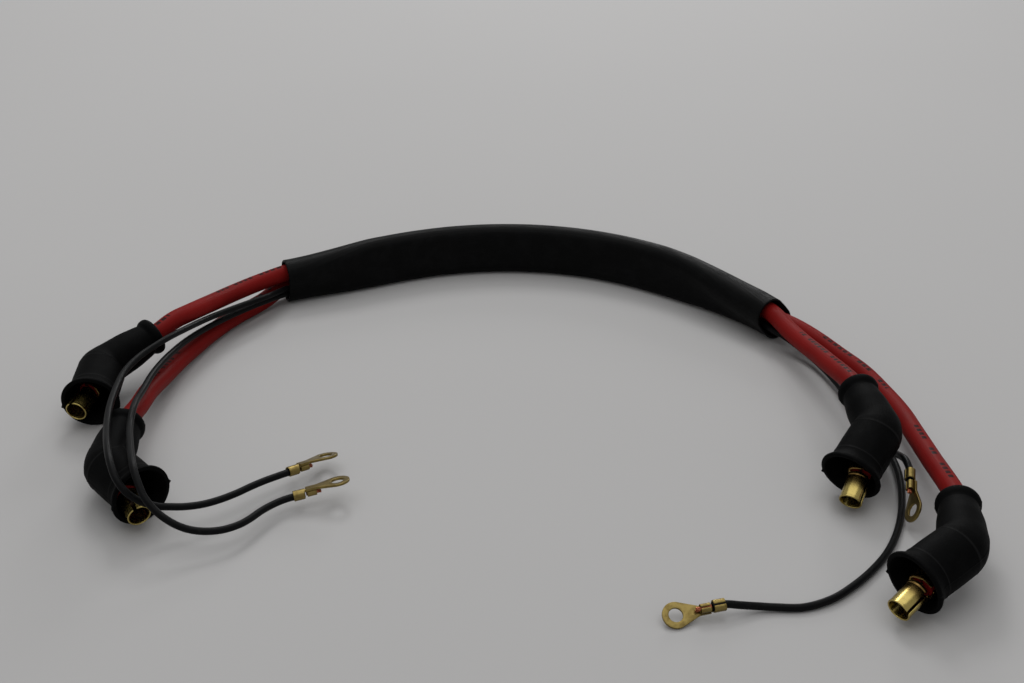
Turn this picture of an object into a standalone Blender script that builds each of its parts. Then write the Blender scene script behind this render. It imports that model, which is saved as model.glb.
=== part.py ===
"""An ignition wire loom: two red high-tension leads and two black earth wires in one flat sleeve.

Metres, +Z up. The loom lies on the plane z = 0, as on a table, and the origin is under its middle.
Each lead ends in two angled rubber boots over brass push-on terminals. Each earth wire ends in two
brass ring terminals.
"""
import math

import bmesh
import bpy
from mathutils import Matrix, Vector

# Clearance between pieces that touch, how far a cutter runs past what it cuts, and how far joined solids
# run into each other
GAP = 0.0003
OVERCUT = 0.0010
OVERLAP = 0.0002

# High-tension leads
LEAD_D = 0.0070
LEAD_SPACING = 0.0080
LEAD_RESOLUTION = 3

# Earth wires
WIRE_D = 0.0024
WIRE_SPACING = 0.0085
WIRE_RESOLUTION = 2
STRANDS_D = 0.0014

# Sleeve: an oval tube, flat along its middle and opened rounder at its mouths
SLEEVE_WALL = 0.0008
SLEEVE_WIDTH = 0.0220
LEFT_MOUTH_WIDTH = 0.0194
LEFT_MOUTH_THICK = 0.0130
LEFT_MOUTH_LEAN = math.radians(18)
LEFT_OPENS_OVER = 0.042
RIGHT_MOUTH_WIDTH = 0.0202
RIGHT_MOUTH_THICK = 0.0140
RIGHT_MOUTH_LEAN = math.radians(42)
RIGHT_OPENS_OVER = 0.062
SLEEVE_STATIONS = 28
SLEEVE_SIDES = 24
SLEEVE_READING = 0.0005

# Boots: a neck and a barrel that meet at an elbow, measured from the elbow's corner
NECK_LENGTH = 0.0238
BARREL_LENGTH = 0.0215
ELBOW_BEND = math.radians(45)
ELBOW_RADIUS = 0.0090
NECK_D = 0.0134
COLLAR_D = 0.0146
COLLAR_LENGTH = 0.0040
COLLAR_ROUND = 0.0007
FLARE_D = 0.0147
ELBOW_D = 0.0151
SHOULDER_D = 0.0172
BARREL_D = 0.0176
LIP_D = 0.0208
LIP_LENGTH = 0.0040
LIP_ROUND = 0.0002
NECK_WALL = 0.0016
BARREL_WALL = 0.0013
LIP_WALL = 0.0013
SEAL_LENGTH = 0.0110
SEAL_TAPER = 0.0040
BOOT_RESOLUTION = 6

# Push-on terminals: one folded brass sheet
BRASS_SHEET = 0.0005
TUBE_D = 0.0075
TUBE_LENGTH = 0.0095
TUBE_SLIT = math.radians(9)
STRAP_LENGTH = 0.0015
STRAP_HALF_ANGLE = math.radians(55)
BAND_LENGTH = 0.0062
BEAD = 0.0002
BEAD_LENGTH = 0.0005
STRAP_STEP = 0.0004
SHEET_COLUMNS = 16
CORE_D = 0.0020
CORE_LENGTH = 0.0045
CORE_SIDES = 12

# Ring terminals, measured from the end of the grip along the wire
RING_D = 0.0082
RING_HOLE_D = 0.0043
RING_SHEET = 0.0008
RING_REACH = 0.0150
TONGUE_WIDTH = 0.0030
GRIP_LENGTH = 0.0035
CRIMP_START = 0.0047
CRIMP_LENGTH = 0.0030
STRANDS_PAST_CRIMP = 0.0016
BARREL_SHEET = 0.0004
RING_SIDES = 32
HOLE_SIDES = 24
GRIP_SIDES = 16
CRIMP_SIDES = 14
STRANDS_SIDES = 10

# Where the leads, wires and sleeve run, from left to right
LEAD_REAR_ROUTE = [
    (-0.1459, -0.0047, 0.0105), (-0.1447, 0.0016, 0.0117), (-0.1432, 0.0066, 0.0127),
    (-0.1412, 0.0110, 0.0136), (-0.1383, 0.0152, 0.0147), (-0.1332, 0.0205, 0.0162),
    (-0.1273, 0.0268, 0.0181), (-0.1227, 0.0348, 0.0192), (-0.1176, 0.0442, 0.0183),
    (-0.1122, 0.0564, 0.0162), (-0.1066, 0.0686, 0.0142), (-0.1004, 0.0788, 0.0130),
    (-0.0946, 0.0853, 0.0128), (-0.0882, 0.0903, 0.0132), (-0.0806, 0.0937, 0.0138),
    (-0.0717, 0.0972, 0.0149), (-0.0618, 0.1014, 0.0163), (-0.0510, 0.1066, 0.0173),
    (-0.0396, 0.1119, 0.0173), (-0.0144, 0.1196, 0.0173), (0.0135, 0.1210, 0.0173),
    (0.0423, 0.1145, 0.0173), (0.0562, 0.1080, 0.0173), (0.0691, 0.0997, 0.0173),
    (0.0805, 0.0898, 0.0168), (0.0905, 0.0797, 0.0154), (0.0993, 0.0702, 0.0140),
    (0.1063, 0.0618, 0.0131), (0.1109, 0.0543, 0.0128), (0.1157, 0.0396, 0.0122),
    (0.1189, 0.0262, 0.0136), (0.1225, 0.0075, 0.0169), (0.1275, -0.0194, 0.0209),
    (0.1285, -0.0281, 0.0200), (0.1293, -0.0355, 0.0192), (0.1288, -0.0418, 0.0179),
    (0.1272, -0.0475, 0.0159), (0.1246, -0.0531, 0.0131), (0.1219, -0.0581, 0.0101),
]
LEAD_FRONT_ROUTE = [
    (-0.1170, -0.0678, 0.0088), (-0.1205, -0.0625, 0.0101), (-0.1233, -0.0575, 0.0111),
    (-0.1250, -0.0524, 0.0118), (-0.1259, -0.0468, 0.0122), (-0.1257, -0.0394, 0.0129),
    (-0.1255, -0.0306, 0.0137), (-0.1245, -0.0176, 0.0122), (-0.1242, -0.0040, 0.0104),
    (-0.1228, 0.0112, 0.0077), (-0.1199, 0.0299, 0.0055), (-0.1176, 0.0392, 0.0047),
    (-0.1129, 0.0536, 0.0042), (-0.1059, 0.0686, 0.0039), (-0.0975, 0.0818, 0.0038),
    (-0.0892, 0.0927, 0.0058), (-0.0816, 0.0961, 0.0058), (-0.0725, 0.0990, 0.0054),
    (-0.0622, 0.1023, 0.0049), (-0.0510, 0.1067, 0.0047), (-0.0396, 0.1119, 0.0047),
    (-0.0144, 0.1196, 0.0047), (0.0135, 0.1210, 0.0047), (0.0423, 0.1145, 0.0047),
    (0.0562, 0.1080, 0.0047), (0.0691, 0.0997, 0.0047), (0.0815, 0.0910, 0.0050),
    (0.0931, 0.0824, 0.0058), (0.1029, 0.0735, 0.0068), (0.1104, 0.0650, 0.0074),
    (0.1157, 0.0574, 0.0077), (0.1209, 0.0500, 0.0080), (0.1271, 0.0403, 0.0076),
    (0.1329, 0.0297, 0.0069), (0.1394, 0.0158, 0.0068), (0.1434, 0.0017, 0.0067),
    (0.1461, -0.0143, 0.0075), (0.1469, -0.0316, 0.0088), (0.1471, -0.0497, 0.0109),
    (0.1469, -0.0801, 0.0149), (0.1451, -0.0887, 0.0149), (0.1436, -0.0961, 0.0149),
    (0.1408, -0.1023, 0.0143), (0.1369, -0.1075, 0.0131), (0.1319, -0.1122, 0.0112),
    (0.1271, -0.1162, 0.0092),
]
EARTH_SHORT_ROUTE = [
    (-0.0647, -0.0472, 0.0049), (-0.0678, -0.0496, 0.0052), (-0.0704, -0.0519, 0.0055),
    (-0.0745, -0.0557, 0.0060), (-0.0787, -0.0602, 0.0065), (-0.0822, -0.0643, 0.0069),
    (-0.0869, -0.0686, 0.0073), (-0.0916, -0.0721, 0.0079), (-0.0965, -0.0744, 0.0086),
    (-0.1009, -0.0757, 0.0094), (-0.1051, -0.0773, 0.0108), (-0.1096, -0.0786, 0.0136),
    (-0.1135, -0.0789, 0.0172), (-0.1167, -0.0766, 0.0205), (-0.1197, -0.0710, 0.0232),
    (-0.1231, -0.0611, 0.0237), (-0.1272, -0.0458, 0.0219), (-0.1295, -0.0333, 0.0215),
    (-0.1310, -0.0194, 0.0205), (-0.1309, -0.0070, 0.0204), (-0.1282, 0.0041, 0.0204),
    (-0.1236, 0.0147, 0.0201), (-0.1210, 0.0209, 0.0195), (-0.1180, 0.0294, 0.0179),
    (-0.1116, 0.0476, 0.0140), (-0.1023, 0.0616, 0.0121), (-0.0937, 0.0728, 0.0107),
    (-0.0868, 0.0872, 0.0077), (-0.0794, 0.0906, 0.0083), (-0.0708, 0.0944, 0.0103),
    (-0.0605, 0.0992, 0.0119), (-0.0513, 0.1079, 0.0121), (-0.0400, 0.1130, 0.0123),
    (-0.0145, 0.1200, 0.0123), (0.0135, 0.1214, 0.0123), (0.0424, 0.1149, 0.0123),
    (0.0699, 0.1005, 0.0123), (0.0790, 0.0883, 0.0121), (0.0892, 0.0782, 0.0106),
    (0.0980, 0.0689, 0.0086), (0.1049, 0.0608, 0.0073), (0.1098, 0.0535, 0.0068),
    (0.1149, 0.0474, 0.0059), (0.1198, 0.0409, 0.0046), (0.1248, 0.0317, 0.0034),
    (0.1294, 0.0160, 0.0032), (0.1321, -0.0010, 0.0032), (0.1367, -0.0350, 0.0057),
    (0.1371, -0.0455, 0.0098), (0.1373, -0.0540, 0.0131), (0.1372, -0.0600, 0.0130),
    (0.1365, -0.0635, 0.0115),
]
EARTH_LONG_ROUTE = [
    (-0.0604, -0.0620, 0.0050), (-0.0641, -0.0631, 0.0046), (-0.0671, -0.0647, 0.0045),
    (-0.0701, -0.0679, 0.0049), (-0.0732, -0.0723, 0.0054), (-0.0759, -0.0771, 0.0058),
    (-0.0787, -0.0809, 0.0062), (-0.0831, -0.0843, 0.0067), (-0.0880, -0.0863, 0.0075),
    (-0.0929, -0.0873, 0.0089), (-0.0976, -0.0873, 0.0112), (-0.1027, -0.0856, 0.0143),
    (-0.1069, -0.0825, 0.0178), (-0.1094, -0.0786, 0.0207), (-0.1120, -0.0728, 0.0229),
    (-0.1165, -0.0585, 0.0221), (-0.1203, -0.0436, 0.0205), (-0.1214, -0.0331, 0.0213),
    (-0.1226, -0.0164, 0.0180), (-0.1226, -0.0016, 0.0165), (-0.1207, 0.0156, 0.0146),
    (-0.1169, 0.0341, 0.0120), (-0.1106, 0.0506, 0.0098), (-0.1030, 0.0637, 0.0085),
    (-0.0944, 0.0756, 0.0074), (-0.0871, 0.0878, 0.0050), (-0.0797, 0.0915, 0.0057),
    (-0.0707, 0.0946, 0.0074), (-0.0610, 0.0996, 0.0092), (-0.0507, 0.1060, 0.0099),
    (-0.0395, 0.1115, 0.0099), (-0.0143, 0.1192, 0.0097), (0.0135, 0.1206, 0.0097),
    (0.0422, 0.1141, 0.0097), (0.0689, 0.0993, 0.0099), (0.0797, 0.0889, 0.0094),
    (0.0898, 0.0789, 0.0078), (0.0990, 0.0699, 0.0060), (0.1063, 0.0619, 0.0050),
    (0.1115, 0.0547, 0.0046), (0.1169, 0.0513, 0.0035), (0.1229, 0.0456, 0.0016),
    (0.1280, 0.0324, 0.0015), (0.1320, 0.0151, 0.0015), (0.1348, -0.0032, 0.0015),
    (0.1373, -0.0211, 0.0015), (0.1388, -0.0324, 0.0015), (0.1391, -0.0412, 0.0015),
    (0.1381, -0.0510, 0.0015), (0.1361, -0.0604, 0.0015), (0.1335, -0.0696, 0.0015),
    (0.1294, -0.0800, 0.0015), (0.1243, -0.0894, 0.0015), (0.1181, -0.0977, 0.0015),
    (0.1108, -0.1055, 0.0016), (0.1026, -0.1121, 0.0015), (0.0936, -0.1157, 0.0013),
    (0.0847, -0.1159, 0.0015), (0.0799, -0.1161, 0.0020), (0.0744, -0.1171, 0.0032),
    (0.0698, -0.1179, 0.0042), (0.0660, -0.1189, 0.0041),
]
SLEEVE_ROUTE = [
    (-0.0883, 0.0904), (-0.0806, 0.0937), (-0.0718, 0.0973), (-0.0618, 0.1015), (-0.0510, 0.1066),
    (-0.0396, 0.1119), (-0.0274, 0.1164), (-0.0144, 0.1196), (-0.0007, 0.1212), (0.0135, 0.1210),
    (0.0279, 0.1188), (0.0423, 0.1145), (0.0562, 0.1080), (0.0691, 0.0997), (0.0808, 0.0902),
    (0.0914, 0.0806), (0.1005, 0.0713), (0.1077, 0.0629), (0.1126, 0.0554),
]

# Boots: the elbow's corner, then the neck's heading, climb and turn about itself, in degrees
BOOTS = {
    "left_rear": ((-0.1440, 0.0092, 0.0129), -133.6, -12.0, 2.4),
    "left_front": ((-0.1261, -0.0553, 0.0115), -91.3, -5.0, 0.7),
    "right_rear": ((0.1302, -0.0439, 0.0183), -83.8, -6.0, -155.1),
    "right_front": ((0.1418, -0.1044, 0.0149), -101.9, 0.0, -162.7),
}

# How far each push-on terminal's slit is turned from the top, in degrees
SLIT_TURNS = {"left_rear": 20.0, "left_front": 20.0, "right_rear": -70.0, "right_front": -70.0}

# How far each ring terminal is rolled about its wire, in degrees
RING_ROLLS = {"left_rear": 160.0, "left_front": 165.0, "right_rear": 62.0, "right_front": -30.0}

COLOURS = {
    "silicone": ((0.23, 0.014, 0.012, 1.0), 0.0, 0.45),
    "rubber": ((0.012, 0.012, 0.013, 1.0), 0.0, 0.62),
    "sleeve": ((0.010, 0.010, 0.011, 1.0), 0.0, 0.42),
    "wire": ((0.011, 0.011, 0.012, 1.0), 0.0, 0.40),
    "brass": ((0.62, 0.44, 0.12, 1.0), 1.0, 0.28),
    "copper": ((0.55, 0.22, 0.13, 1.0), 1.0, 0.40),
}


def start_scene():
    """Empties the scene and returns the part's collection and the cutters' collection."""
    for obj in list(bpy.data.objects):
        bpy.data.objects.remove(obj, do_unlink=True)
    made = []
    for name in ("ignition_wire_loom", "cutters"):
        collection = bpy.data.collections.new(name)
        bpy.context.scene.collection.children.link(collection)
        made.append(collection)
    return made


def finish(name, look):
    """A material of the node's own, in one of the part's finishes."""
    colour, metallic, roughness = COLOURS[look]
    material = bpy.data.materials.new(name + "_finish")
    material.use_nodes = True
    shader = material.node_tree.nodes["Principled BSDF"]
    shader.inputs["Base Color"].default_value = colour
    shader.inputs["Metallic"].default_value = metallic
    shader.inputs["Roughness"].default_value = roughness
    return material


def add_part(name, mesh, look, matrix=None):
    """A named object in the part's collection, with its own material in its object slot."""
    obj = bpy.data.objects.new(name, mesh)
    PART.objects.link(obj)
    if matrix is not None:
        obj.matrix_world = matrix
    if not mesh.materials:
        mesh.materials.append(None)
    obj.material_slots[0].link = "OBJECT"
    obj.material_slots[0].material = finish(name, look)
    return obj


def add_cutter(name, mesh, matrix=None):
    """A guide solid that is only cut with, joined from or copied."""
    obj = bpy.data.objects.new(name, mesh)
    CUTTERS.objects.link(obj)
    obj.hide_render = True
    obj.display_type = "WIRE"
    if matrix is not None:
        obj.matrix_world = matrix
    return obj


def evaluated_mesh(obj):
    """The object's mesh with its modifiers or its bevel applied, and its loose caps welded."""
    bpy.context.view_layer.update()
    graph = bpy.context.evaluated_depsgraph_get()
    mesh = bpy.data.meshes.new_from_object(obj.evaluated_get(graph))
    shape = bmesh.new()
    shape.from_mesh(mesh)
    bmesh.ops.remove_doubles(shape, verts=shape.verts, dist=0.000001)
    shape.to_mesh(mesh)
    shape.free()
    return mesh


def combine(body, other, operation):
    """An exact Boolean of the body with another object."""
    modifier = body.modifiers.new(operation.lower(), "BOOLEAN")
    modifier.operation = operation
    modifier.solver = "EXACT"
    modifier.object = other


def shade(mesh, angle=40.0):
    """Smooth shading with the edges above the angle kept sharp."""
    mesh.shade_smooth()
    mesh.set_sharp_from_angle(angle=math.radians(angle))


def smooth(points, spacing):
    """Points read from a centripetal Catmull-Rom curve through the route's own points."""
    route = [Vector(point) for point in points]
    route.insert(0, route[0] * 2 - route[1])
    route.append(route[-1] * 2 - route[-2])
    read = []
    for before, start, end, after in zip(route, route[1:], route[2:], route[3:]):
        knots = [0.0]
        for near, far in ((before, start), (start, end), (end, after)):
            knots.append(knots[-1] + math.sqrt((far - near).length))
        steps = max(1, round((end - start).length / spacing))
        for step in range(steps):
            t = knots[1] + (knots[2] - knots[1]) * step / steps
            level = [before, start, end, after]
            for reach in (1, 2, 3):
                level = [blend(level[i], level[i + 1], t, *span(knots, i, reach)) for i in range(4 - reach)]
            read.append(level[0])
    read.append(route[-2])
    return read


def span(knots, i, reach):
    """The two knots that a level of the curve's pyramid runs between."""
    if reach == 3:
        return knots[1], knots[2]
    return knots[i], knots[i + reach]


def blend(near, far, t, start, end):
    """The point at t on the straight line that is at near for start and at far for end."""
    return near + (far - near) * ((t - start) / (end - start))


def tube_curve(name, points, diameter, resolution, widths=None):
    """A round tube with filled caps along the points; widths scale it at each point."""
    curve = bpy.data.curves.new(name, "CURVE")
    curve.dimensions = "3D"
    curve.bevel_depth = diameter / 2
    curve.bevel_resolution = resolution
    curve.use_fill_caps = True
    spline = curve.splines.new("POLY")
    spline.points.add(len(points) - 1)
    for i, point in enumerate(points):
        spline.points[i].co = (*point, 1.0)
        spline.points[i].radius = widths[i] if widths else 1.0
    return curve


def add_cord(name, route, diameter, resolution, spacing, look):
    """A lead or wire as a tube along its route."""
    curve = tube_curve(name, smooth(route, spacing), diameter, resolution)
    curve.materials.append(None)
    return add_part(name, curve, look)


def cylinder(name, diameter, length, sides, matrix):
    """A closed cylinder whose axis runs along the matrix's X, from its origin."""
    mesh = bpy.data.meshes.new(name)
    shape = bmesh.new()
    turn = Matrix.Rotation(math.radians(90), 4, "Y")
    along = Matrix.Translation((length / 2, 0, 0))
    bmesh.ops.create_cone(
        shape, cap_ends=True, segments=sides, radius1=diameter / 2, radius2=diameter / 2, depth=length,
        matrix=matrix @ along @ turn)
    shape.to_mesh(mesh)
    shape.free()
    return mesh


def sleeve_section(run, length):
    """Half the oval's straight side, its end radius and its lean, at a distance along the sleeve."""
    middle = (SLEEVE_WIDTH, LEAD_D + 2 * (GAP + SLEEVE_WALL), 0.0)
    left = (LEFT_MOUTH_WIDTH, LEFT_MOUTH_THICK, LEFT_MOUTH_LEAN)
    right = (RIGHT_MOUTH_WIDTH, RIGHT_MOUTH_THICK, RIGHT_MOUTH_LEAN)
    openings = ((left, run / LEFT_OPENS_OVER), (right, (length - run) / RIGHT_OPENS_OVER))
    section = list(middle)
    for mouth, far in openings:
        far = min(1.0, far)
        share = 1.0 - far * far * (3.0 - 2.0 * far)
        section = [now + (goal - flat) * share for now, goal, flat in zip(section, mouth, middle)]
    width, thick, lean = section
    return (width - thick) / 2, thick / 2, lean


def make_sleeve():
    """The oval skin as rings along its curve, resting on z = 0, with its wall grown inward."""
    centre = smooth([(x, y, 0.0) for x, y in SLEEVE_ROUTE], SLEEVE_READING)
    runs = [0.0]
    for near, far in zip(centre, centre[1:]):
        runs.append(runs[-1] + (far - near).length)
    shape = bmesh.new()
    rings = []
    for station in range(SLEEVE_STATIONS + 1):
        run = runs[-1] * station / SLEEVE_STATIONS
        i = min(len(runs) - 2, sum(1 for reached in runs[1:] if reached < run))
        place = blend(centre[i], centre[i + 1], run, runs[i], runs[i + 1])
        ahead = (centre[i + 1] - centre[i]).normalized()
        across = Vector((-ahead.y, ahead.x, 0.0))
        straight, radius, lean = sleeve_section(run, runs[-1])
        tall = Vector((0, 0, math.cos(lean))) - across * math.sin(lean)
        thick = Vector((0, 0, math.sin(lean))) + across * math.cos(lean)
        place = place + Vector((0, 0, straight * math.cos(lean) + radius))
        ring = []
        for side in range(SLEEVE_SIDES):
            turn = 2 * math.pi * (side + 0.5) / SLEEVE_SIDES
            rise = radius * math.sin(turn) + math.copysign(straight, math.sin(turn))
            ring.append(shape.verts.new(place + tall * rise + thick * radius * math.cos(turn)))
        rings.append(ring)
    for ring, following in zip(rings, rings[1:]):
        for side in range(SLEEVE_SIDES):
            other = (side + 1) % SLEEVE_SIDES
            shape.faces.new((ring[side], ring[other], following[other], following[side]))
    bmesh.ops.recalc_face_normals(shape, faces=shape.faces)
    mesh = bpy.data.meshes.new("loom_sleeve")
    shape.to_mesh(mesh)
    shape.free()
    shade(mesh)
    sleeve = add_part("loom_sleeve", mesh, "sleeve")
    wall = sleeve.modifiers.new("wall", "SOLIDIFY")
    wall.thickness = SLEEVE_WALL
    wall.offset = -1.0
    wall.use_even_offset = True


def bent(distance):
    """A point on the boot's centre line: along the neck, round the elbow, along the barrel."""
    tangent = ELBOW_RADIUS * math.tan(ELBOW_BEND / 2)
    if distance <= -tangent:
        return (distance, 0.0, 0.0)
    if distance >= tangent:
        return (distance * math.cos(ELBOW_BEND), distance * math.sin(ELBOW_BEND), 0.0)
    turned = ELBOW_BEND * (distance + tangent) / (2 * tangent)
    return (ELBOW_RADIUS * math.sin(turned) - tangent, ELBOW_RADIUS * (1 - math.cos(turned)), 0.0)


def bent_tube(name, stations):
    """A solid along the boot's centre line, from (distance, diameter) stations."""
    points = [bent(distance) for distance, _ in stations]
    widths = [diameter / BARREL_D for _, diameter in stations]
    curve = tube_curve(name, points, BARREL_D, BOOT_RESOLUTION, widths)
    guide = add_cutter(name, curve)
    mesh = evaluated_mesh(guide)
    bpy.data.objects.remove(guide)
    return add_cutter(name, mesh)


def collar_stations(start):
    """The collar's rounded bead, which ends on the neck."""
    bead = []
    for share in (0.0, 0.2, 0.5, 0.8):
        lowered = 2 * COLLAR_ROUND * (2 * share - 1) ** 2
        bead.append((start + share * COLLAR_LENGTH, COLLAR_D - lowered))
    bead.append((start + COLLAR_LENGTH, NECK_D))
    return bead


def make_boots():
    """One moulded boot, cut out once and placed four times."""
    bend = ELBOW_RADIUS * math.tan(ELBOW_BEND / 2)
    seal_d = LEAD_D + 2 * GAP
    bore_d = BARREL_D - 2 * BARREL_WALL
    mouth_d = LIP_D - 2 * LIP_ROUND - 2 * LIP_WALL
    collar = -NECK_LENGTH
    lip = BARREL_LENGTH - LIP_LENGTH
    seal_end = collar + SEAL_LENGTH
    outside = collar_stations(collar) + [
        ((collar + COLLAR_LENGTH - bend) / 2, FLARE_D),
        (-bend, ELBOW_D),
        (-bend / 3, ELBOW_D + 0.4 * (SHOULDER_D - ELBOW_D)),
        (bend / 3, ELBOW_D + 0.9 * (SHOULDER_D - ELBOW_D)),
        (bend, SHOULDER_D),
        (lip, BARREL_D),
        (lip + LIP_LENGTH / 3, BARREL_D + 0.3 * (LIP_D - BARREL_D)),
        (lip + 0.75 * LIP_LENGTH, LIP_D),
        (BARREL_LENGTH, LIP_D - 2 * LIP_ROUND),
    ]
    inside = [
        (collar - OVERCUT, seal_d),
        (seal_end, seal_d),
        (seal_end + SEAL_TAPER, (seal_d + bore_d) / 2),
        (-bend / 2, SHOULDER_D - 2 * NECK_WALL - (SHOULDER_D - ELBOW_D) / 2),
        (bend / 3, SHOULDER_D - 2 * NECK_WALL),
        (bend, bore_d),
        (lip, bore_d),
        (BARREL_LENGTH, mouth_d),
        (BARREL_LENGTH + OVERCUT, mouth_d),
    ]
    skin = bent_tube("boot_skin", outside)
    cavity = bent_tube("boot_cavity", inside)
    combine(skin, cavity, "DIFFERENCE")
    mesh = evaluated_mesh(skin)
    shade(mesh)
    for place, (elbow, heading, climb, turn) in BOOTS.items():
        matrix = (
            Matrix.Translation(elbow)
            @ Matrix.Rotation(math.radians(heading), 4, "Z")
            @ Matrix.Rotation(math.radians(-climb), 4, "Y")
            @ Matrix.Rotation(math.radians(turn), 4, "X"))
        add_part("boot_" + place, mesh, "rubber", matrix)
    bpy.data.objects.remove(skin)


def frame_along(origin, ahead, roll):
    """A frame with X ahead and Z upward, rolled about X by an angle in degrees."""
    up = Vector((0, 0, 1))
    up = (up - ahead * up.dot(ahead)).normalized()
    frame = Matrix((ahead, up.cross(ahead), up)).transposed().to_4x4()
    return Matrix.Translation(origin) @ frame @ Matrix.Rotation(math.radians(roll), 4, "X")


def make_push_terminals():
    """The brass sheet as rows of an open arc from the tube's lip to the crimp band's end."""
    tube_r = TUBE_D / 2 - BRASS_SHEET
    band_r = LEAD_D / 2 + GAP
    wrap = math.pi - TUBE_SLIT
    strap_start = -TUBE_LENGTH
    strap_end = strap_start - STRAP_LENGTH
    rows = [
        (0.0, tube_r + BEAD, wrap),
        (-BEAD_LENGTH, tube_r, wrap),
        (strap_start + 2 * BEAD_LENGTH, tube_r, wrap),
        (strap_start + BEAD_LENGTH, tube_r + BEAD, wrap),
        (strap_start, tube_r, wrap),
        (strap_start - STRAP_STEP, tube_r, STRAP_HALF_ANGLE),
        (strap_end + STRAP_STEP, band_r, STRAP_HALF_ANGLE),
        (strap_end, band_r, wrap),
        (strap_end - BAND_LENGTH, band_r, wrap),
    ]
    mesh = bpy.data.meshes.new("push_terminal_sheet")
    shape = bmesh.new()
    lines = []
    for along, radius, half in rows:
        line = []
        for column in range(SHEET_COLUMNS + 1):
            angle = half * (2 * column / SHEET_COLUMNS - 1)
            line.append(shape.verts.new((along, -radius * math.sin(angle), -radius * math.cos(angle))))
        lines.append(line)
    for line, following in zip(lines, lines[1:]):
        for column in range(SHEET_COLUMNS):
            corners = (line[column], line[column + 1], following[column + 1], following[column])
            shape.faces.new(corners)
    shape.to_mesh(mesh)
    shape.free()
    shade(mesh)
    for place, (end, ahead) in lead_ends().items():
        frame = frame_along(end, ahead, SLIT_TURNS[place])
        seat = frame @ Matrix.Translation((STRAP_LENGTH + TUBE_LENGTH, 0, 0))
        terminal = add_part("terminal_" + place, mesh, "brass", seat)
        sheet = terminal.modifiers.new("sheet", "SOLIDIFY")
        sheet.thickness = BRASS_SHEET
        sheet.offset = 1.0
        sheet.use_even_offset = True
        clear = Matrix.Translation((GAP, 0, 0))
        core = cylinder("lead_core_" + place, CORE_D, CORE_LENGTH, CORE_SIDES, clear)
        add_part("lead_core_" + place, core, "copper", frame)


def ends_of(route, left, right):
    """The two ends of a route: each end point, and the straight way out of it."""
    first, second, before, last = (Vector(route[i]) for i in (0, 1, -2, -1))
    return {left: (first, (first - second).normalized()), right: (last, (last - before).normalized())}


def lead_ends():
    """Where the high-tension leads end, by place."""
    return {
        **ends_of(LEAD_REAR_ROUTE, "left_rear", "right_rear"),
        **ends_of(LEAD_FRONT_ROUTE, "left_front", "right_front"),
    }


def wire_ends():
    """Where the earth wires end, by place."""
    return {
        **ends_of(EARTH_SHORT_ROUTE, "left_rear", "right_rear"),
        **ends_of(EARTH_LONG_ROUTE, "left_front", "right_front"),
    }


def ring_plate(start, ring_seat):
    """The flat ring and the tongue's taper onto it, as the hull of a disc and of the tongue's end."""
    disc = cylinder("ring_disc", RING_D, RING_SHEET, RING_SIDES, ring_seat)
    mesh = bpy.data.meshes.new("ring_plate")
    shape = bmesh.new()
    for point in disc.vertices:
        shape.verts.new(point.co)
    for side in (-1, 1):
        for face in (-1, 1):
            shape.verts.new((start, side * TONGUE_WIDTH / 2, face * RING_SHEET / 2))
    hull = bmesh.ops.convex_hull(shape, input=shape.verts)
    bmesh.ops.delete(shape, geom=hull["geom_interior"], context="VERTS")
    bmesh.ops.dissolve_limit(shape, angle_limit=math.radians(1), verts=shape.verts, edges=shape.edges)
    bmesh.ops.recalc_face_normals(shape, faces=shape.faces)
    shape.to_mesh(mesh)
    shape.free()
    return mesh


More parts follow.
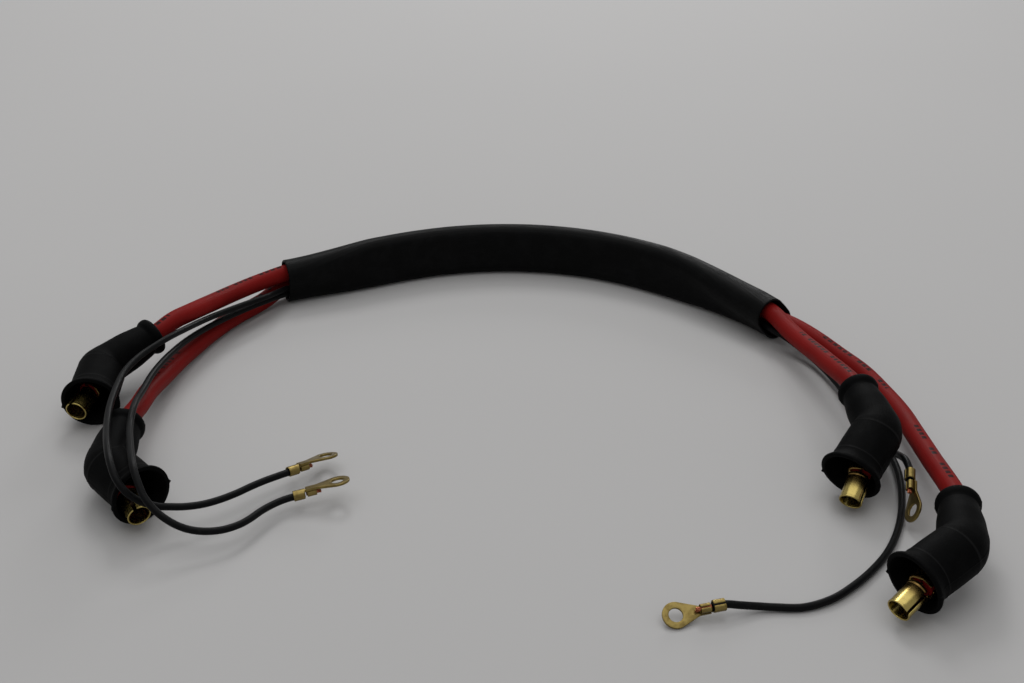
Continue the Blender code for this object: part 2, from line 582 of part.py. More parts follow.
def make_ring_terminals():
    """A flat ring and tongue with two rolled barrels on it, for the wire and for its strands."""
    wire_bore = WIRE_D + 2 * GAP
    strands_bore = STRANDS_D + 2 * GAP
    grip_d = wire_bore + 2 * BARREL_SHEET
    crimp_d = strands_bore + 2 * BARREL_SHEET
    axis_height = wire_bore / 2
    flat = bpy.data.meshes.new("ring_tongue")
    shape = bmesh.new()
    tongue_length = CRIMP_START + CRIMP_LENGTH
    middle = Matrix.Translation((tongue_length / 2, 0, 0))
    tongue = middle @ Matrix.Diagonal((tongue_length, TONGUE_WIDTH, RING_SHEET, 1))
    bmesh.ops.create_cube(shape, size=1.0, matrix=tongue)
    shape.to_mesh(flat)
    shape.free()
    body = add_cutter("ring_body", flat)
    ring_seat = Matrix.Translation((RING_REACH, 0, -RING_SHEET / 2)) @ Matrix.Rotation(-math.pi / 2, 4, "Y")
    hole_seat = Matrix.Translation((0, 0, -RING_SHEET)) @ ring_seat
    axis = Matrix.Translation((0, 0, axis_height))
    at_crimp = Matrix.Translation((CRIMP_START, 0, axis_height))
    behind = Matrix.Translation((-OVERCUT, 0, 0)) @ axis
    grip_bore = OVERCUT + CRIMP_START - BARREL_SHEET
    crimp_bore = CRIMP_START + CRIMP_LENGTH + OVERCUT
    combine(body, add_cutter("ring_plate", ring_plate(tongue_length - OVERLAP, ring_seat)), "UNION")
    steps = (
        ("grip", "UNION", grip_d, GRIP_LENGTH, GRIP_SIDES, axis),
        ("crimp", "UNION", crimp_d, CRIMP_LENGTH, CRIMP_SIDES, at_crimp),
        ("hole", "DIFFERENCE", RING_HOLE_D, 3 * RING_SHEET, HOLE_SIDES, hole_seat),
        ("grip_bore", "DIFFERENCE", wire_bore, grip_bore, GRIP_SIDES, behind),
        ("crimp_bore", "DIFFERENCE", strands_bore, crimp_bore, CRIMP_SIDES, axis),
    )
    for name, operation, diameter, length, sides, place in steps:
        guide = add_cutter(name, cylinder(name, diameter, length, sides, place))
        combine(body, guide, operation)
    finished = evaluated_mesh(body)
    shade(finished)
    wire_past_grip = (CRIMP_START - GRIP_LENGTH) / 3
    strands_start = GRIP_LENGTH + wire_past_grip + GAP
    strands_length = CRIMP_START + CRIMP_LENGTH + STRANDS_PAST_CRIMP - strands_start
    for place, (end, ahead) in wire_ends().items():
        frame = frame_along(end, ahead, RING_ROLLS[place])
        seat = frame @ Matrix.Translation((-GRIP_LENGTH - wire_past_grip, 0, -axis_height))
        add_part("ring_terminal_" + place, finished, "brass", seat)
        clear = Matrix.Translation((GAP, 0, 0))
        strands = cylinder("strands_" + place, STRANDS_D, strands_length, STRANDS_SIDES, clear)
        add_part("strands_" + place, strands, "copper", frame)
    bpy.data.objects.remove(body)


PART, CUTTERS = start_scene()
make_sleeve()
add_cord("lead_rear", LEAD_REAR_ROUTE, LEAD_D, LEAD_RESOLUTION, LEAD_SPACING, "silicone")
add_cord("lead_front", LEAD_FRONT_ROUTE, LEAD_D, LEAD_RESOLUTION, LEAD_SPACING, "silicone")
add_cord("earth_wire_short", EARTH_SHORT_ROUTE, WIRE_D, WIRE_RESOLUTION, WIRE_SPACING, "wire")
add_cord("earth_wire_long", EARTH_LONG_ROUTE, WIRE_D, WIRE_RESOLUTION, WIRE_SPACING, "wire")
make_boots()
make_push_terminals()
make_ring_terminals()
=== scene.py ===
"""The looks of an ignition wire loom that lies on a table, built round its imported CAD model.

Metres, +Z up, in the model's own frame. Two red high-tension leads and two black earth wires run through
one flat sleeve. The leads end in angled rubber boots over brass push-on terminals, and the wires in brass
ring terminals.
"""
import math

import bmesh
import bpy
import numpy as np
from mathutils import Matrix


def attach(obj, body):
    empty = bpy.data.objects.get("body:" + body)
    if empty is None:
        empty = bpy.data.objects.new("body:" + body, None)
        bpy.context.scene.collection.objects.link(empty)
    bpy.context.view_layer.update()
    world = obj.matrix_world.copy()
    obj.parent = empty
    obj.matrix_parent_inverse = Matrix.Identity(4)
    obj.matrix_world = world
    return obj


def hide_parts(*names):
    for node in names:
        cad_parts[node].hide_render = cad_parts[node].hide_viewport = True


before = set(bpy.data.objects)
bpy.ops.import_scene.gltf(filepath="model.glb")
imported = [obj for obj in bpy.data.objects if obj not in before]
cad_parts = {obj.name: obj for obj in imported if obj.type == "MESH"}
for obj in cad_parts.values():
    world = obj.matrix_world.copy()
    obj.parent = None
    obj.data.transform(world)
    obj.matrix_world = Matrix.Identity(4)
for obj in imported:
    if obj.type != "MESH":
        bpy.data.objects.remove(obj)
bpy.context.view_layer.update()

# Camera
# It stands in front of the table, a little above the loom, and looks down on it.
CAMERA_PLACE = (0.0074, -0.4438, 0.2646)
LOOKS_DOWN = math.radians(28)
LENS_MM = 49.22

lens = bpy.data.cameras.new("camera")
lens.sensor_width = 36
lens.lens = LENS_MM
lens.clip_start = 0.01
camera = bpy.data.objects.new("camera", lens)
camera.location = CAMERA_PLACE
camera.rotation_euler = (math.pi / 2 - LOOKS_DOWN, 0, 0)
bpy.context.scene.collection.objects.link(camera)
bpy.context.scene.camera = camera
bpy.context.scene.view_settings.view_transform = "Standard"

# High-tension leads
# Each real lead is a spiral-wound conductor in a thick jacket of red silicone rubber, extruded 7 mm across.
# A row of plain ink dashes runs along its top, with bare stretches between.
LEAD_D = 0.0070
LEAD_REAR_LENGTH = 0.463
LEAD_FRONT_LENGTH = 0.592
LEAD_SIDES = 48
CORD_STEP = 0.0010
END_ROUND = 0.0004
ROUND_STEPS = 5
MERGE_WITHIN = 0.0000005
LEAD_REAR_ROUTE = [
    (-0.1459, -0.0047, 0.0105), (-0.1447, 0.0016, 0.0117), (-0.1432, 0.0066, 0.0127),
    (-0.1412, 0.0110, 0.0136), (-0.1383, 0.0152, 0.0147), (-0.1332, 0.0205, 0.0162),
    (-0.1273, 0.0268, 0.0181), (-0.1227, 0.0348, 0.0192), (-0.1176, 0.0442, 0.0183),
    (-0.1122, 0.0564, 0.0162), (-0.1066, 0.0686, 0.0142), (-0.1004, 0.0788, 0.0130),
    (-0.0946, 0.0853, 0.0128), (-0.0882, 0.0903, 0.0132), (-0.0806, 0.0937, 0.0138),
    (-0.0717, 0.0972, 0.0149), (-0.0618, 0.1014, 0.0163), (-0.0510, 0.1066, 0.0173),
    (-0.0396, 0.1119, 0.0173), (-0.0144, 0.1196, 0.0173), (0.0135, 0.1210, 0.0173),
    (0.0423, 0.1145, 0.0173), (0.0562, 0.1080, 0.0173), (0.0691, 0.0997, 0.0173),
    (0.0805, 0.0898, 0.0168), (0.0905, 0.0797, 0.0154), (0.0993, 0.0702, 0.0140),
    (0.1063, 0.0618, 0.0131), (0.1109, 0.0543, 0.0128), (0.1157, 0.0396, 0.0122),
    (0.1189, 0.0262, 0.0136), (0.1225, 0.0075, 0.0169), (0.1275, -0.0194, 0.0209),
    (0.1285, -0.0281, 0.0200), (0.1293, -0.0355, 0.0192), (0.1288, -0.0418, 0.0179),
    (0.1272, -0.0475, 0.0159), (0.1246, -0.0531, 0.0131), (0.1219, -0.0581, 0.0101),
]
LEAD_FRONT_ROUTE = [
    (-0.1170, -0.0678, 0.0088), (-0.1205, -0.0625, 0.0101), (-0.1233, -0.0575, 0.0111),
    (-0.1250, -0.0524, 0.0118), (-0.1259, -0.0468, 0.0122), (-0.1257, -0.0394, 0.0129),
    (-0.1255, -0.0306, 0.0137), (-0.1245, -0.0176, 0.0122), (-0.1242, -0.0040, 0.0104),
    (-0.1228, 0.0112, 0.0077), (-0.1199, 0.0299, 0.0055), (-0.1176, 0.0392, 0.0047),
    (-0.1129, 0.0536, 0.0042), (-0.1059, 0.0686, 0.0039), (-0.0975, 0.0818, 0.0038),
    (-0.0892, 0.0927, 0.0058), (-0.0816, 0.0961, 0.0058), (-0.0725, 0.0990, 0.0054),
    (-0.0622, 0.1023, 0.0049), (-0.0510, 0.1067, 0.0047), (-0.0396, 0.1119, 0.0047),
    (-0.0144, 0.1196, 0.0047), (0.0135, 0.1210, 0.0047), (0.0423, 0.1145, 0.0047),
    (0.0562, 0.1080, 0.0047), (0.0691, 0.0997, 0.0047), (0.0815, 0.0910, 0.0050),
    (0.0931, 0.0824, 0.0058), (0.1029, 0.0735, 0.0068), (0.1104, 0.0650, 0.0074),
    (0.1157, 0.0574, 0.0077), (0.1209, 0.0500, 0.0080), (0.1271, 0.0403, 0.0076),
    (0.1329, 0.0297, 0.0069), (0.1394, 0.0158, 0.0068), (0.1434, 0.0017, 0.0067),
    (0.1461, -0.0143, 0.0075), (0.1469, -0.0316, 0.0088), (0.1471, -0.0497, 0.0109),
    (0.1469, -0.0801, 0.0149), (0.1451, -0.0887, 0.0149), (0.1436, -0.0961, 0.0149),
    (0.1408, -0.1023, 0.0143), (0.1369, -0.1075, 0.0131), (0.1319, -0.1122, 0.0112),
    (0.1271, -0.1162, 0.0092),
]
RED_DEEP = (0.135, 0.0056, 0.0050, 1)
RED_FULL = (0.190, 0.0090, 0.0080, 1)
RED_DUSTY = (0.205, 0.0260, 0.0220, 1)
INK = (0.010, 0.0040, 0.0045, 1)
DASH_PITCH = 0.0030
DASH_ROW = 0.25
DASH_HALF_HEIGHT = 0.036
INKED_SHARE = 0.66
SKIPPED_SHARE = 0.2
PRINT_PITCH = 0.074
PRINTED_SHARE = 0.62


def smooth(points, spacing):
    """Points on a centripetal Catmull-Rom curve: at each place three rounds of straight blends between
    the four nearest points of the route, whose knots lie the square root of a chord apart."""
    route = np.array(points, float)
    route = np.vstack((2 * route[0] - route[1], route, 2 * route[-1] - route[-2]))
    chords = np.linalg.norm(np.diff(route, axis=0), axis=1)
    knots = np.concatenate(([0.0], np.cumsum(np.sqrt(chords))))
    steps = np.maximum(1, np.round(chords[1:-1] / spacing).astype(int))
    stretch = np.append(np.repeat(np.arange(len(steps)), steps), len(steps) - 1)
    share = np.append(np.concatenate([np.arange(count) / count for count in steps]), 1.0)
    at = knots[stretch + 1] + share * (knots[stretch + 2] - knots[stretch + 1])
    level = [route[stretch + i] for i in range(4)]
    for reach in (1, 2, 3):
        starts = [stretch + (1 if reach == 3 else i) for i in range(4 - reach)]
        ends = [stretch + (2 if reach == 3 else i + reach) for i in range(4 - reach)]
        level = [
            near + (far - near) * ((at - knots[start]) / (knots[end] - knots[start]))[:, None]
            for near, far, start, end in zip(level, level[1:], starts, ends)]
    return level[0]


def unit(vectors):
    """The vectors, each divided by its own length."""
    return vectors / np.linalg.norm(vectors, axis=-1, keepdims=True)


def runs_along(line):
    """The distance along a line at each of its points: the running sum of its chords."""
    return np.concatenate(([0.0], np.cumsum(np.linalg.norm(np.diff(line, axis=0), axis=1))))


def read_at(line, at, values=None):
    """The points of a line at the given distances along it, straight between its own points, or other
    values that were worked out for those points."""
    values = line if values is None else values
    run = runs_along(line)
    return np.stack([np.interp(at, run, values[:, axis]) for axis in range(3)], axis=1)


def rod_stations(length, radius, step, rounding):
    """Distances along a rod and its radius at each: even steps, with a quarter circle into both ends."""
    turn = np.linspace(0, np.pi / 2, ROUND_STEPS)
    into = rounding * (1 - np.cos(turn))
    rise = radius - rounding * (1 - np.sin(turn))
    middle = np.linspace(rounding, length - rounding, 2 + round(length / step))[1:-1]
    at = np.concatenate((into, middle, length - into[::-1]))
    return at, np.concatenate((rise, np.full(len(middle), radius), rise[::-1]))


def rings_round(line, radii, sides):
    """A ring round each point of a line: centre + radius * (cos a * side + sin a * up), with a from 0 to a
    full turn, side level and square to the line, and up square to both. Radii may vary round the ring."""
    ahead = unit(np.gradient(line, axis=0))
    side = unit(np.cross(ahead, (0.0, 0.0, 1.0)))
    up = np.cross(side, ahead)
    turn = 2 * np.pi * np.arange(sides) / sides
    around = np.cos(turn)[:, None] * side[:, None] + np.sin(turn)[:, None] * up[:, None]
    return line[:, None] + np.reshape(radii, (len(line), -1, 1)) * around


def skin(rings, run=None, closed=False):
    """Points, faces and UVs of a skin over rings: a quad between each two neighbours on two rings, then a
    flat cap on each end ring, or a last row of quads back to the first ring when the skin is closed.
    The UV is the share round the ring, and the distance along in metres."""
    count, sides = rings.shape[:2]
    run = np.arange(count) / count if run is None else run
    at = np.arange(count * sides).reshape(count, sides)
    following = np.roll(at, -1, axis=0) if closed else at[1:]
    at_rows = at if closed else at[:-1]
    quads = np.stack(
        (at_rows, following, np.roll(following, -1, axis=1), np.roll(at_rows, -1, axis=1)), axis=-1)
    rows = len(at_rows)
    share = np.arange(sides) / sides
    far = np.append(run, run[0])[1:rows + 1]
    u = np.broadcast_to(np.stack((share, share, share + 1 / sides, share + 1 / sides), axis=-1), quads.shape)
    v = np.broadcast_to(np.stack((run[:rows], far, far, run[:rows]), axis=-1)[:, None], quads.shape)
    faces = quads.reshape(-1, 4).tolist()
    uv = np.stack((u, v), axis=-1).reshape(-1, 2)
    if not closed:
        faces += [at[0].tolist(), at[-1, ::-1].tolist()]
        for turned, end in ((share, run[0]), (share[::-1], run[-1])):
            uv = np.vstack((uv, np.stack((turned, np.full(sides, end)), axis=1)))
    return rings.reshape(-1, 3), faces, uv


def add_piece(name, skins, finish, slot, *nodes, sharp=35.0):
    """One mesh of all the skins, merged where they close on themselves, as a piece of the loom."""
    points = np.vstack([part[0] for part in skins])
    starts = np.cumsum([0] + [len(part[0]) for part in skins])
    faces = [[start + i for i in face] for start, part in zip(starts, skins) for face in part[1]]
    mesh = bpy.data.meshes.new(name)
    mesh.from_pydata(points.tolist(), [], faces)
    mesh.uv_layers.new(name="UVMap").data.foreach_set("uv", np.vstack([part[2] for part in skins]).ravel())
    shape = bmesh.new()
    shape.from_mesh(mesh)
    bmesh.ops.remove_doubles(shape, verts=shape.verts, dist=MERGE_WITHIN)
    shape.to_mesh(mesh)
    shape.free()
    mesh.shade_smooth()
    mesh.set_sharp_from_angle(angle=math.radians(sharp))
    mesh.materials.append(finish.material)
    piece = bpy.data.objects.new(name, mesh)
    bpy.context.scene.collection.objects.link(piece)
    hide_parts(*nodes)
    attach(piece, "root")
    return piece


class Socket:
    """A shader socket in an expression: each operator adds the Math node that works it out."""

    def __init__(self, finish, output):
        self.finish = finish
        self.output = output

    def __add__(self, other):
        return self.finish.math("ADD", self, other)

    def __sub__(self, other):
        return self.finish.math("SUBTRACT", self, other)

    def __rsub__(self, other):
        return self.finish.math("SUBTRACT", other, self)

    def __mul__(self, other):
        return self.finish.math("MULTIPLY", self, other)

    def __truediv__(self, other):
        return self.finish.math("DIVIDE", self, other)

    def __lt__(self, other):
        return self.finish.math("LESS_THAN", self, other)

    def __gt__(self, other):
        return self.finish.math("GREATER_THAN", self, other)

    __radd__ = __add__
    __rmul__ = __mul__


class Finish:
    """A procedural material, whose nodes are written as expressions on its sockets."""

    def __init__(self, name, constants):
        self.material = bpy.data.materials.new(name)
        self.material.use_nodes = True
        self.nodes = self.material.node_tree.nodes
        self.links = self.material.node_tree.links
        self.shader = self.nodes["Principled BSDF"]
        self.feed(self.shader, constants)

    def feed(self, node, values):
        """Sets or links a node's sockets."""
        for socket, value in values.items():
            if isinstance(value, Socket):
                self.links.new(value.output, node.inputs[socket])
            else:
                node.inputs[socket].default_value = value

    def node(self, kind, settings, inputs, output=0):
        """A new node: its settings first, then the values or links of its sockets."""
        made = self.nodes.new(kind)
        for setting, value in settings.items():
            setattr(made, setting, value)
        self.feed(made, inputs)
        return Socket(self, made.outputs[output])

    def math(self, operation, *values):
        """A Math node on values and sockets."""
        return self.node("ShaderNodeMath", {"operation": operation}, dict(enumerate(values)))

    def place(self):
        """Where a point is in the loom's frame, in metres."""
        return self.node("ShaderNodeTexCoord", {}, {}, "Object")

    def lay(self):
        """The share round the piece, and the distance along it in metres, from its UV map."""
        uv = self.node("ShaderNodeTexCoord", {}, {}, "UV")
        return [self.node("ShaderNodeSeparateXYZ", {}, {0: uv}, axis) for axis in ("X", "Y")]

    def noise(self, place, scale, detail=2.0, roughness=0.5):
        """Cloudy noise from 0 to 1, with scale cells to a metre."""
        return self.node(
            "ShaderNodeTexNoise", {},
            {"Vector": place, "Scale": scale, "Detail": detail, "Roughness": roughness})

    def lines(self, around, along, fineness, length):
        """Noise drawn out along the piece: read at (k cos a, k sin a, distance / length)."""
        turn = around * (2 * math.pi)
        sides = {0: self.math("COSINE", turn) * fineness, 1: self.math("SINE", turn) * fineness}
        drawn = self.node("ShaderNodeCombineXYZ", {}, {**sides, 2: along / length})
        return self.noise(drawn, 1.0, 3.0)

    def step(self, value, low, high):
        """0 below low, 1 above high, and a smooth step between."""
        return self.node(
            "ShaderNodeMapRange", {"interpolation_type": "SMOOTHSTEP"},
            {"Value": value, "From Min": low, "From Max": high})

    def blend(self, share, first, second):
        """The first colour where the share is 0, and the second where it is 1."""
        return self.node("ShaderNodeMix", {"data_type": "RGBA"}, {0: share, 6: first, 7: second}, 2)

    def bump(self, height, distance):
        """The normal of a surface raised by height times distance."""
        return self.node("ShaderNodeBump", {}, {"Height": height, "Distance": distance, "Strength": 1.0})

    def show(self, **sockets):
        """Links the shader's own sockets, named with _ for a space."""
        self.feed(self.shader, {name.replace("_", " "): value for name, value in sockets.items()})


red_silicone = Finish("red_silicone", {"Specular IOR Level": 0.04})
place = red_silicone.place()
around, along = red_silicone.lay()
clouds = red_silicone.step(red_silicone.noise(place, scale=55.0, detail=4.0), low=0.3, high=0.7)
grain = red_silicone.noise(place, scale=2600.0, detail=3.0)
drawn_lines = red_silicone.lines(around, along, fineness=7.0, length=0.045)
dust = red_silicone.step(
    red_silicone.noise(place, scale=420.0, detail=8.0, roughness=0.7), low=0.60, high=0.80)
cell = along / DASH_PITCH
dash = red_silicone.math("FRACT", cell) < INKED_SHARE
chance = red_silicone.node(
    "ShaderNodeTexWhiteNoise", {"noise_dimensions": "1D"}, {"W": red_silicone.math("FLOOR", cell)})
filled = chance > SKIPPED_SHARE
row = red_silicone.math("COMPARE", around, DASH_ROW, DASH_HALF_HEIGHT)
printed = red_silicone.math("FRACT", along / PRINT_PITCH) < PRINTED_SHARE
worn = 0.80 + 0.2 * red_silicone.step(
    red_silicone.noise(place, scale=900.0, detail=4.0), low=0.35, high=0.6)
ink = dash * filled * row * printed * worn
red = red_silicone.blend(clouds * 0.6 + drawn_lines * 0.4, RED_DEEP, RED_FULL)
red = red_silicone.blend(dust * 0.35, red, RED_DUSTY)
red_silicone.show(
    Base_Color=red_silicone.blend(ink, red, INK),
    Roughness=0.46 + 0.10 * clouds + 0.12 * dust,
    Normal=red_silicone.bump(drawn_lines + 0.35 * grain, distance=0.00006))

leads = {
    "lead_rear": (LEAD_REAR_ROUTE, LEAD_REAR_LENGTH, 0.000),
    "lead_front": (LEAD_FRONT_ROUTE, LEAD_FRONT_LENGTH, 0.020),
}
for name, (route, length, print_shift) in leads.items():
    curve = smooth(route, CORD_STEP)
    stations, radii = rod_stations(runs_along(curve)[-1], LEAD_D / 2, CORD_STEP, END_ROUND)
    centre_line = read_at(curve, stations)
    tube = skin(rings_round(centre_line, radii, LEAD_SIDES), stations + print_shift)
    lead = add_piece(name + "_jacket", [tube], red_silicone, "silicone", name, sharp=60.0)

# Earth wires
# Each real wire is a bundle of fine copper strands in thin black PVC, 2.4 mm across, limp enough to lie in
# loops round the boots. Its insulation stops inside the ring terminal's grip.
WIRE_D = 0.0024
EARTH_SHORT_LENGTH = 0.603
EARTH_LONG_LENGTH = 0.699
WIRE_SIDES = 24
WIRE_END_ROUND = 0.0002
EARTH_SHORT_ROUTE = [
    (-0.0647, -0.0472, 0.0049), (-0.0678, -0.0496, 0.0052), (-0.0704, -0.0519, 0.0055),
    (-0.0745, -0.0557, 0.0060), (-0.0787, -0.0602, 0.0065), (-0.0822, -0.0643, 0.0069),
    (-0.0869, -0.0686, 0.0073), (-0.0916, -0.0721, 0.0079), (-0.0965, -0.0744, 0.0086),
    (-0.1009, -0.0757, 0.0094), (-0.1051, -0.0773, 0.0108), (-0.1096, -0.0786, 0.0136),
    (-0.1135, -0.0789, 0.0172), (-0.1167, -0.0766, 0.0205), (-0.1197, -0.0710, 0.0232),
    (-0.1231, -0.0611, 0.0237), (-0.1272, -0.0458, 0.0219), (-0.1295, -0.0333, 0.0215),
    (-0.1310, -0.0194, 0.0205), (-0.1309, -0.0070, 0.0204), (-0.1282, 0.0041, 0.0204),
    (-0.1236, 0.0147, 0.0201), (-0.1210, 0.0209, 0.0195), (-0.1180, 0.0294, 0.0179),
    (-0.1116, 0.0476, 0.0140), (-0.1023, 0.0616, 0.0121), (-0.0937, 0.0728, 0.0107),
    (-0.0868, 0.0872, 0.0077), (-0.0794, 0.0906, 0.0083), (-0.0708, 0.0944, 0.0103),
    (-0.0605, 0.0992, 0.0119), (-0.0513, 0.1079, 0.0121), (-0.0400, 0.1130, 0.0123),
    (-0.0145, 0.1200, 0.0123), (0.0135, 0.1214, 0.0123), (0.0424, 0.1149, 0.0123),
    (0.0699, 0.1005, 0.0123), (0.0790, 0.0883, 0.0121), (0.0892, 0.0782, 0.0106),
    (0.0980, 0.0689, 0.0086), (0.1049, 0.0608, 0.0073), (0.1098, 0.0535, 0.0068),
    (0.1149, 0.0474, 0.0059), (0.1198, 0.0409, 0.0046), (0.1248, 0.0317, 0.0034),
    (0.1294, 0.0160, 0.0032), (0.1321, -0.0010, 0.0032), (0.1367, -0.0350, 0.0057),
    (0.1371, -0.0455, 0.0098), (0.1373, -0.0540, 0.0131), (0.1372, -0.0600, 0.0130),
    (0.1365, -0.0635, 0.0115),
]
EARTH_LONG_ROUTE = [
    (-0.0604, -0.0620, 0.0050), (-0.0641, -0.0631, 0.0046), (-0.0671, -0.0647, 0.0045),
    (-0.0701, -0.0679, 0.0049), (-0.0732, -0.0723, 0.0054), (-0.0759, -0.0771, 0.0058),
    (-0.0787, -0.0809, 0.0062), (-0.0831, -0.0843, 0.0067), (-0.0880, -0.0863, 0.0075),
    (-0.0929, -0.0873, 0.0089), (-0.0976, -0.0873, 0.0112), (-0.1027, -0.0856, 0.0143),
    (-0.1069, -0.0825, 0.0178), (-0.1094, -0.0786, 0.0207), (-0.1120, -0.0728, 0.0229),
    (-0.1165, -0.0585, 0.0221), (-0.1203, -0.0436, 0.0205), (-0.1214, -0.0331, 0.0213),
    (-0.1226, -0.0164, 0.0180), (-0.1226, -0.0016, 0.0165), (-0.1207, 0.0156, 0.0146),
    (-0.1169, 0.0341, 0.0120), (-0.1106, 0.0506, 0.0098), (-0.1030, 0.0637, 0.0085),
    (-0.0944, 0.0756, 0.0074), (-0.0871, 0.0878, 0.0050), (-0.0797, 0.0915, 0.0057),
    (-0.0707, 0.0946, 0.0074), (-0.0610, 0.0996, 0.0092), (-0.0507, 0.1060, 0.0099),
    (-0.0395, 0.1115, 0.0099), (-0.0143, 0.1192, 0.0097), (0.0135, 0.1206, 0.0097),
    (0.0422, 0.1141, 0.0097), (0.0689, 0.0993, 0.0099), (0.0797, 0.0889, 0.0094),
    (0.0898, 0.0789, 0.0078), (0.0990, 0.0699, 0.0060), (0.1063, 0.0619, 0.0050),
    (0.1115, 0.0547, 0.0046), (0.1169, 0.0513, 0.0035), (0.1229, 0.0456, 0.0016),
    (0.1280, 0.0324, 0.0015), (0.1320, 0.0151, 0.0015), (0.1348, -0.0032, 0.0015),
    (0.1373, -0.0211, 0.0015), (0.1388, -0.0324, 0.0015), (0.1391, -0.0412, 0.0015),
    (0.1381, -0.0510, 0.0015), (0.1361, -0.0604, 0.0015), (0.1335, -0.0696, 0.0015),
    (0.1294, -0.0800, 0.0015), (0.1243, -0.0894, 0.0015), (0.1181, -0.0977, 0.0015),
    (0.1108, -0.1055, 0.0016), (0.1026, -0.1121, 0.0015), (0.0936, -0.1157, 0.0013),
    (0.0847, -0.1159, 0.0015), (0.0799, -0.1161, 0.0020), (0.0744, -0.1171, 0.0032),
    (0.0698, -0.1179, 0.0042), (0.0660, -0.1189, 0.0041),
]
WIRE_BLACK = (0.0034, 0.0036, 0.0039, 1)
WIRE_SCUFFED = (0.0130, 0.0132, 0.0135, 1)

wire_pvc = Finish("black_wire_pvc", {"Specular IOR Level": 0.07})
place = wire_pvc.place()
around, along = wire_pvc.lay()
drawn_lines = wire_pvc.lines(around, along, fineness=4.0, length=0.020)
grain = wire_pvc.noise(place, scale=3000.0)
scuffs = wire_pvc.step(
    wire_pvc.noise(place, scale=700.0, detail=6.0, roughness=0.7), low=0.52, high=0.75)
wire_pvc.show(
    Base_Color=wire_pvc.blend(scuffs * 0.6, WIRE_BLACK, WIRE_SCUFFED),
    Roughness=0.38 + 0.16 * scuffs,
    Normal=wire_pvc.bump(drawn_lines + 0.3 * grain, distance=0.00003))

earth_wires = {
    "earth_wire_short": (EARTH_SHORT_ROUTE, EARTH_SHORT_LENGTH),
    "earth_wire_long": (EARTH_LONG_ROUTE, EARTH_LONG_LENGTH),
}
for name, (route, length) in earth_wires.items():
    curve = smooth(route, CORD_STEP)
    stations, radii = rod_stations(runs_along(curve)[-1], WIRE_D / 2, CORD_STEP, WIRE_END_ROUND)
    centre_line = read_at(curve, stations)
    tube = skin(rings_round(centre_line, radii, WIRE_SIDES), stations)
    wire = add_piece(name + "_insulation", [tube], wire_pvc, "wire", name, sharp=60.0)

# Sleeve
# The real sleeve is a soft black PVC tube, slipped over all four conductors and pressed flat by them, so its
# sides dip between the two leads. Both mouths spring open rounder than the rest and lean outward.
GAP = 0.0003
SLEEVE_WALL = 0.0008
SLEEVE_WIDTH = 0.0220
LEFT_MOUTH_WIDTH = 0.0194
LEFT_MOUTH_THICK = 0.0130
LEFT_MOUTH_LEAN = math.radians(18)
LEFT_OPENS_OVER = 0.042
RIGHT_MOUTH_WIDTH = 0.0202
RIGHT_MOUTH_THICK = 0.0140
RIGHT_MOUTH_LEAN = math.radians(42)
RIGHT_OPENS_OVER = 0.062
SLEEVE_STATIONS = 190
SLEEVE_SIDES = 120
SLEEVE_STEP = 0.0005
RIM_STEPS = 9
SLEEVE_DIP = 0.00022
DIP_WIDTH = 0.0030
DIP_STARTS_OVER = 0.03
SLEEVE_WAVE = 0.00008
WAVE_LENGTH = 0.037
WAVE_HEIGHT = 0.015
FADES_OVER = 0.003
SLEEVE_ROUTE = [
    (-0.0883, 0.0904), (-0.0806, 0.0937), (-0.0718, 0.0973), (-0.0618, 0.1015), (-0.0510, 0.1066),
    (-0.0396, 0.1119), (-0.0274, 0.1164), (-0.0144, 0.1196), (-0.0007, 0.1212), (0.0135, 0.1210),
    (0.0279, 0.1188), (0.0423, 0.1145), (0.0562, 0.1080), (0.0691, 0.0997), (0.0808, 0.0902),
    (0.0914, 0.0806), (0.1005, 0.0713), (0.1077, 0.0629), (0.1126, 0.0554),
]
SLEEVE_BLACK = (0.0026, 0.0027, 0.0028, 1)
SLEEVE_BLOOM = (0.0080, 0.0082, 0.0086, 1)


def sleeve_sections(run, length):
    """Half the oval's straight side, its end radius and its lean at distances along the sleeve: the flat
    middle, blended by a smooth step of the distance into the wider mouth at each end."""
    flat = np.array((SLEEVE_WIDTH, LEAD_D + 2 * (GAP + SLEEVE_WALL), 0.0))
    mouths = (
        ((LEFT_MOUTH_WIDTH, LEFT_MOUTH_THICK, LEFT_MOUTH_LEAN), run / LEFT_OPENS_OVER),
        ((RIGHT_MOUTH_WIDTH, RIGHT_MOUTH_THICK, RIGHT_MOUTH_LEAN), (length - run) / RIGHT_OPENS_OVER))
    section = np.broadcast_to(flat, (len(run), 3))
    for mouth, far in mouths:
        far = np.clip(far, 0, 1)[:, None]
        section = section + (np.array(mouth) - flat) * (1 - far * far * (3 - 2 * far))
    width, thick, lean = section.T
    return (width - thick) / 2, thick / 2, lean


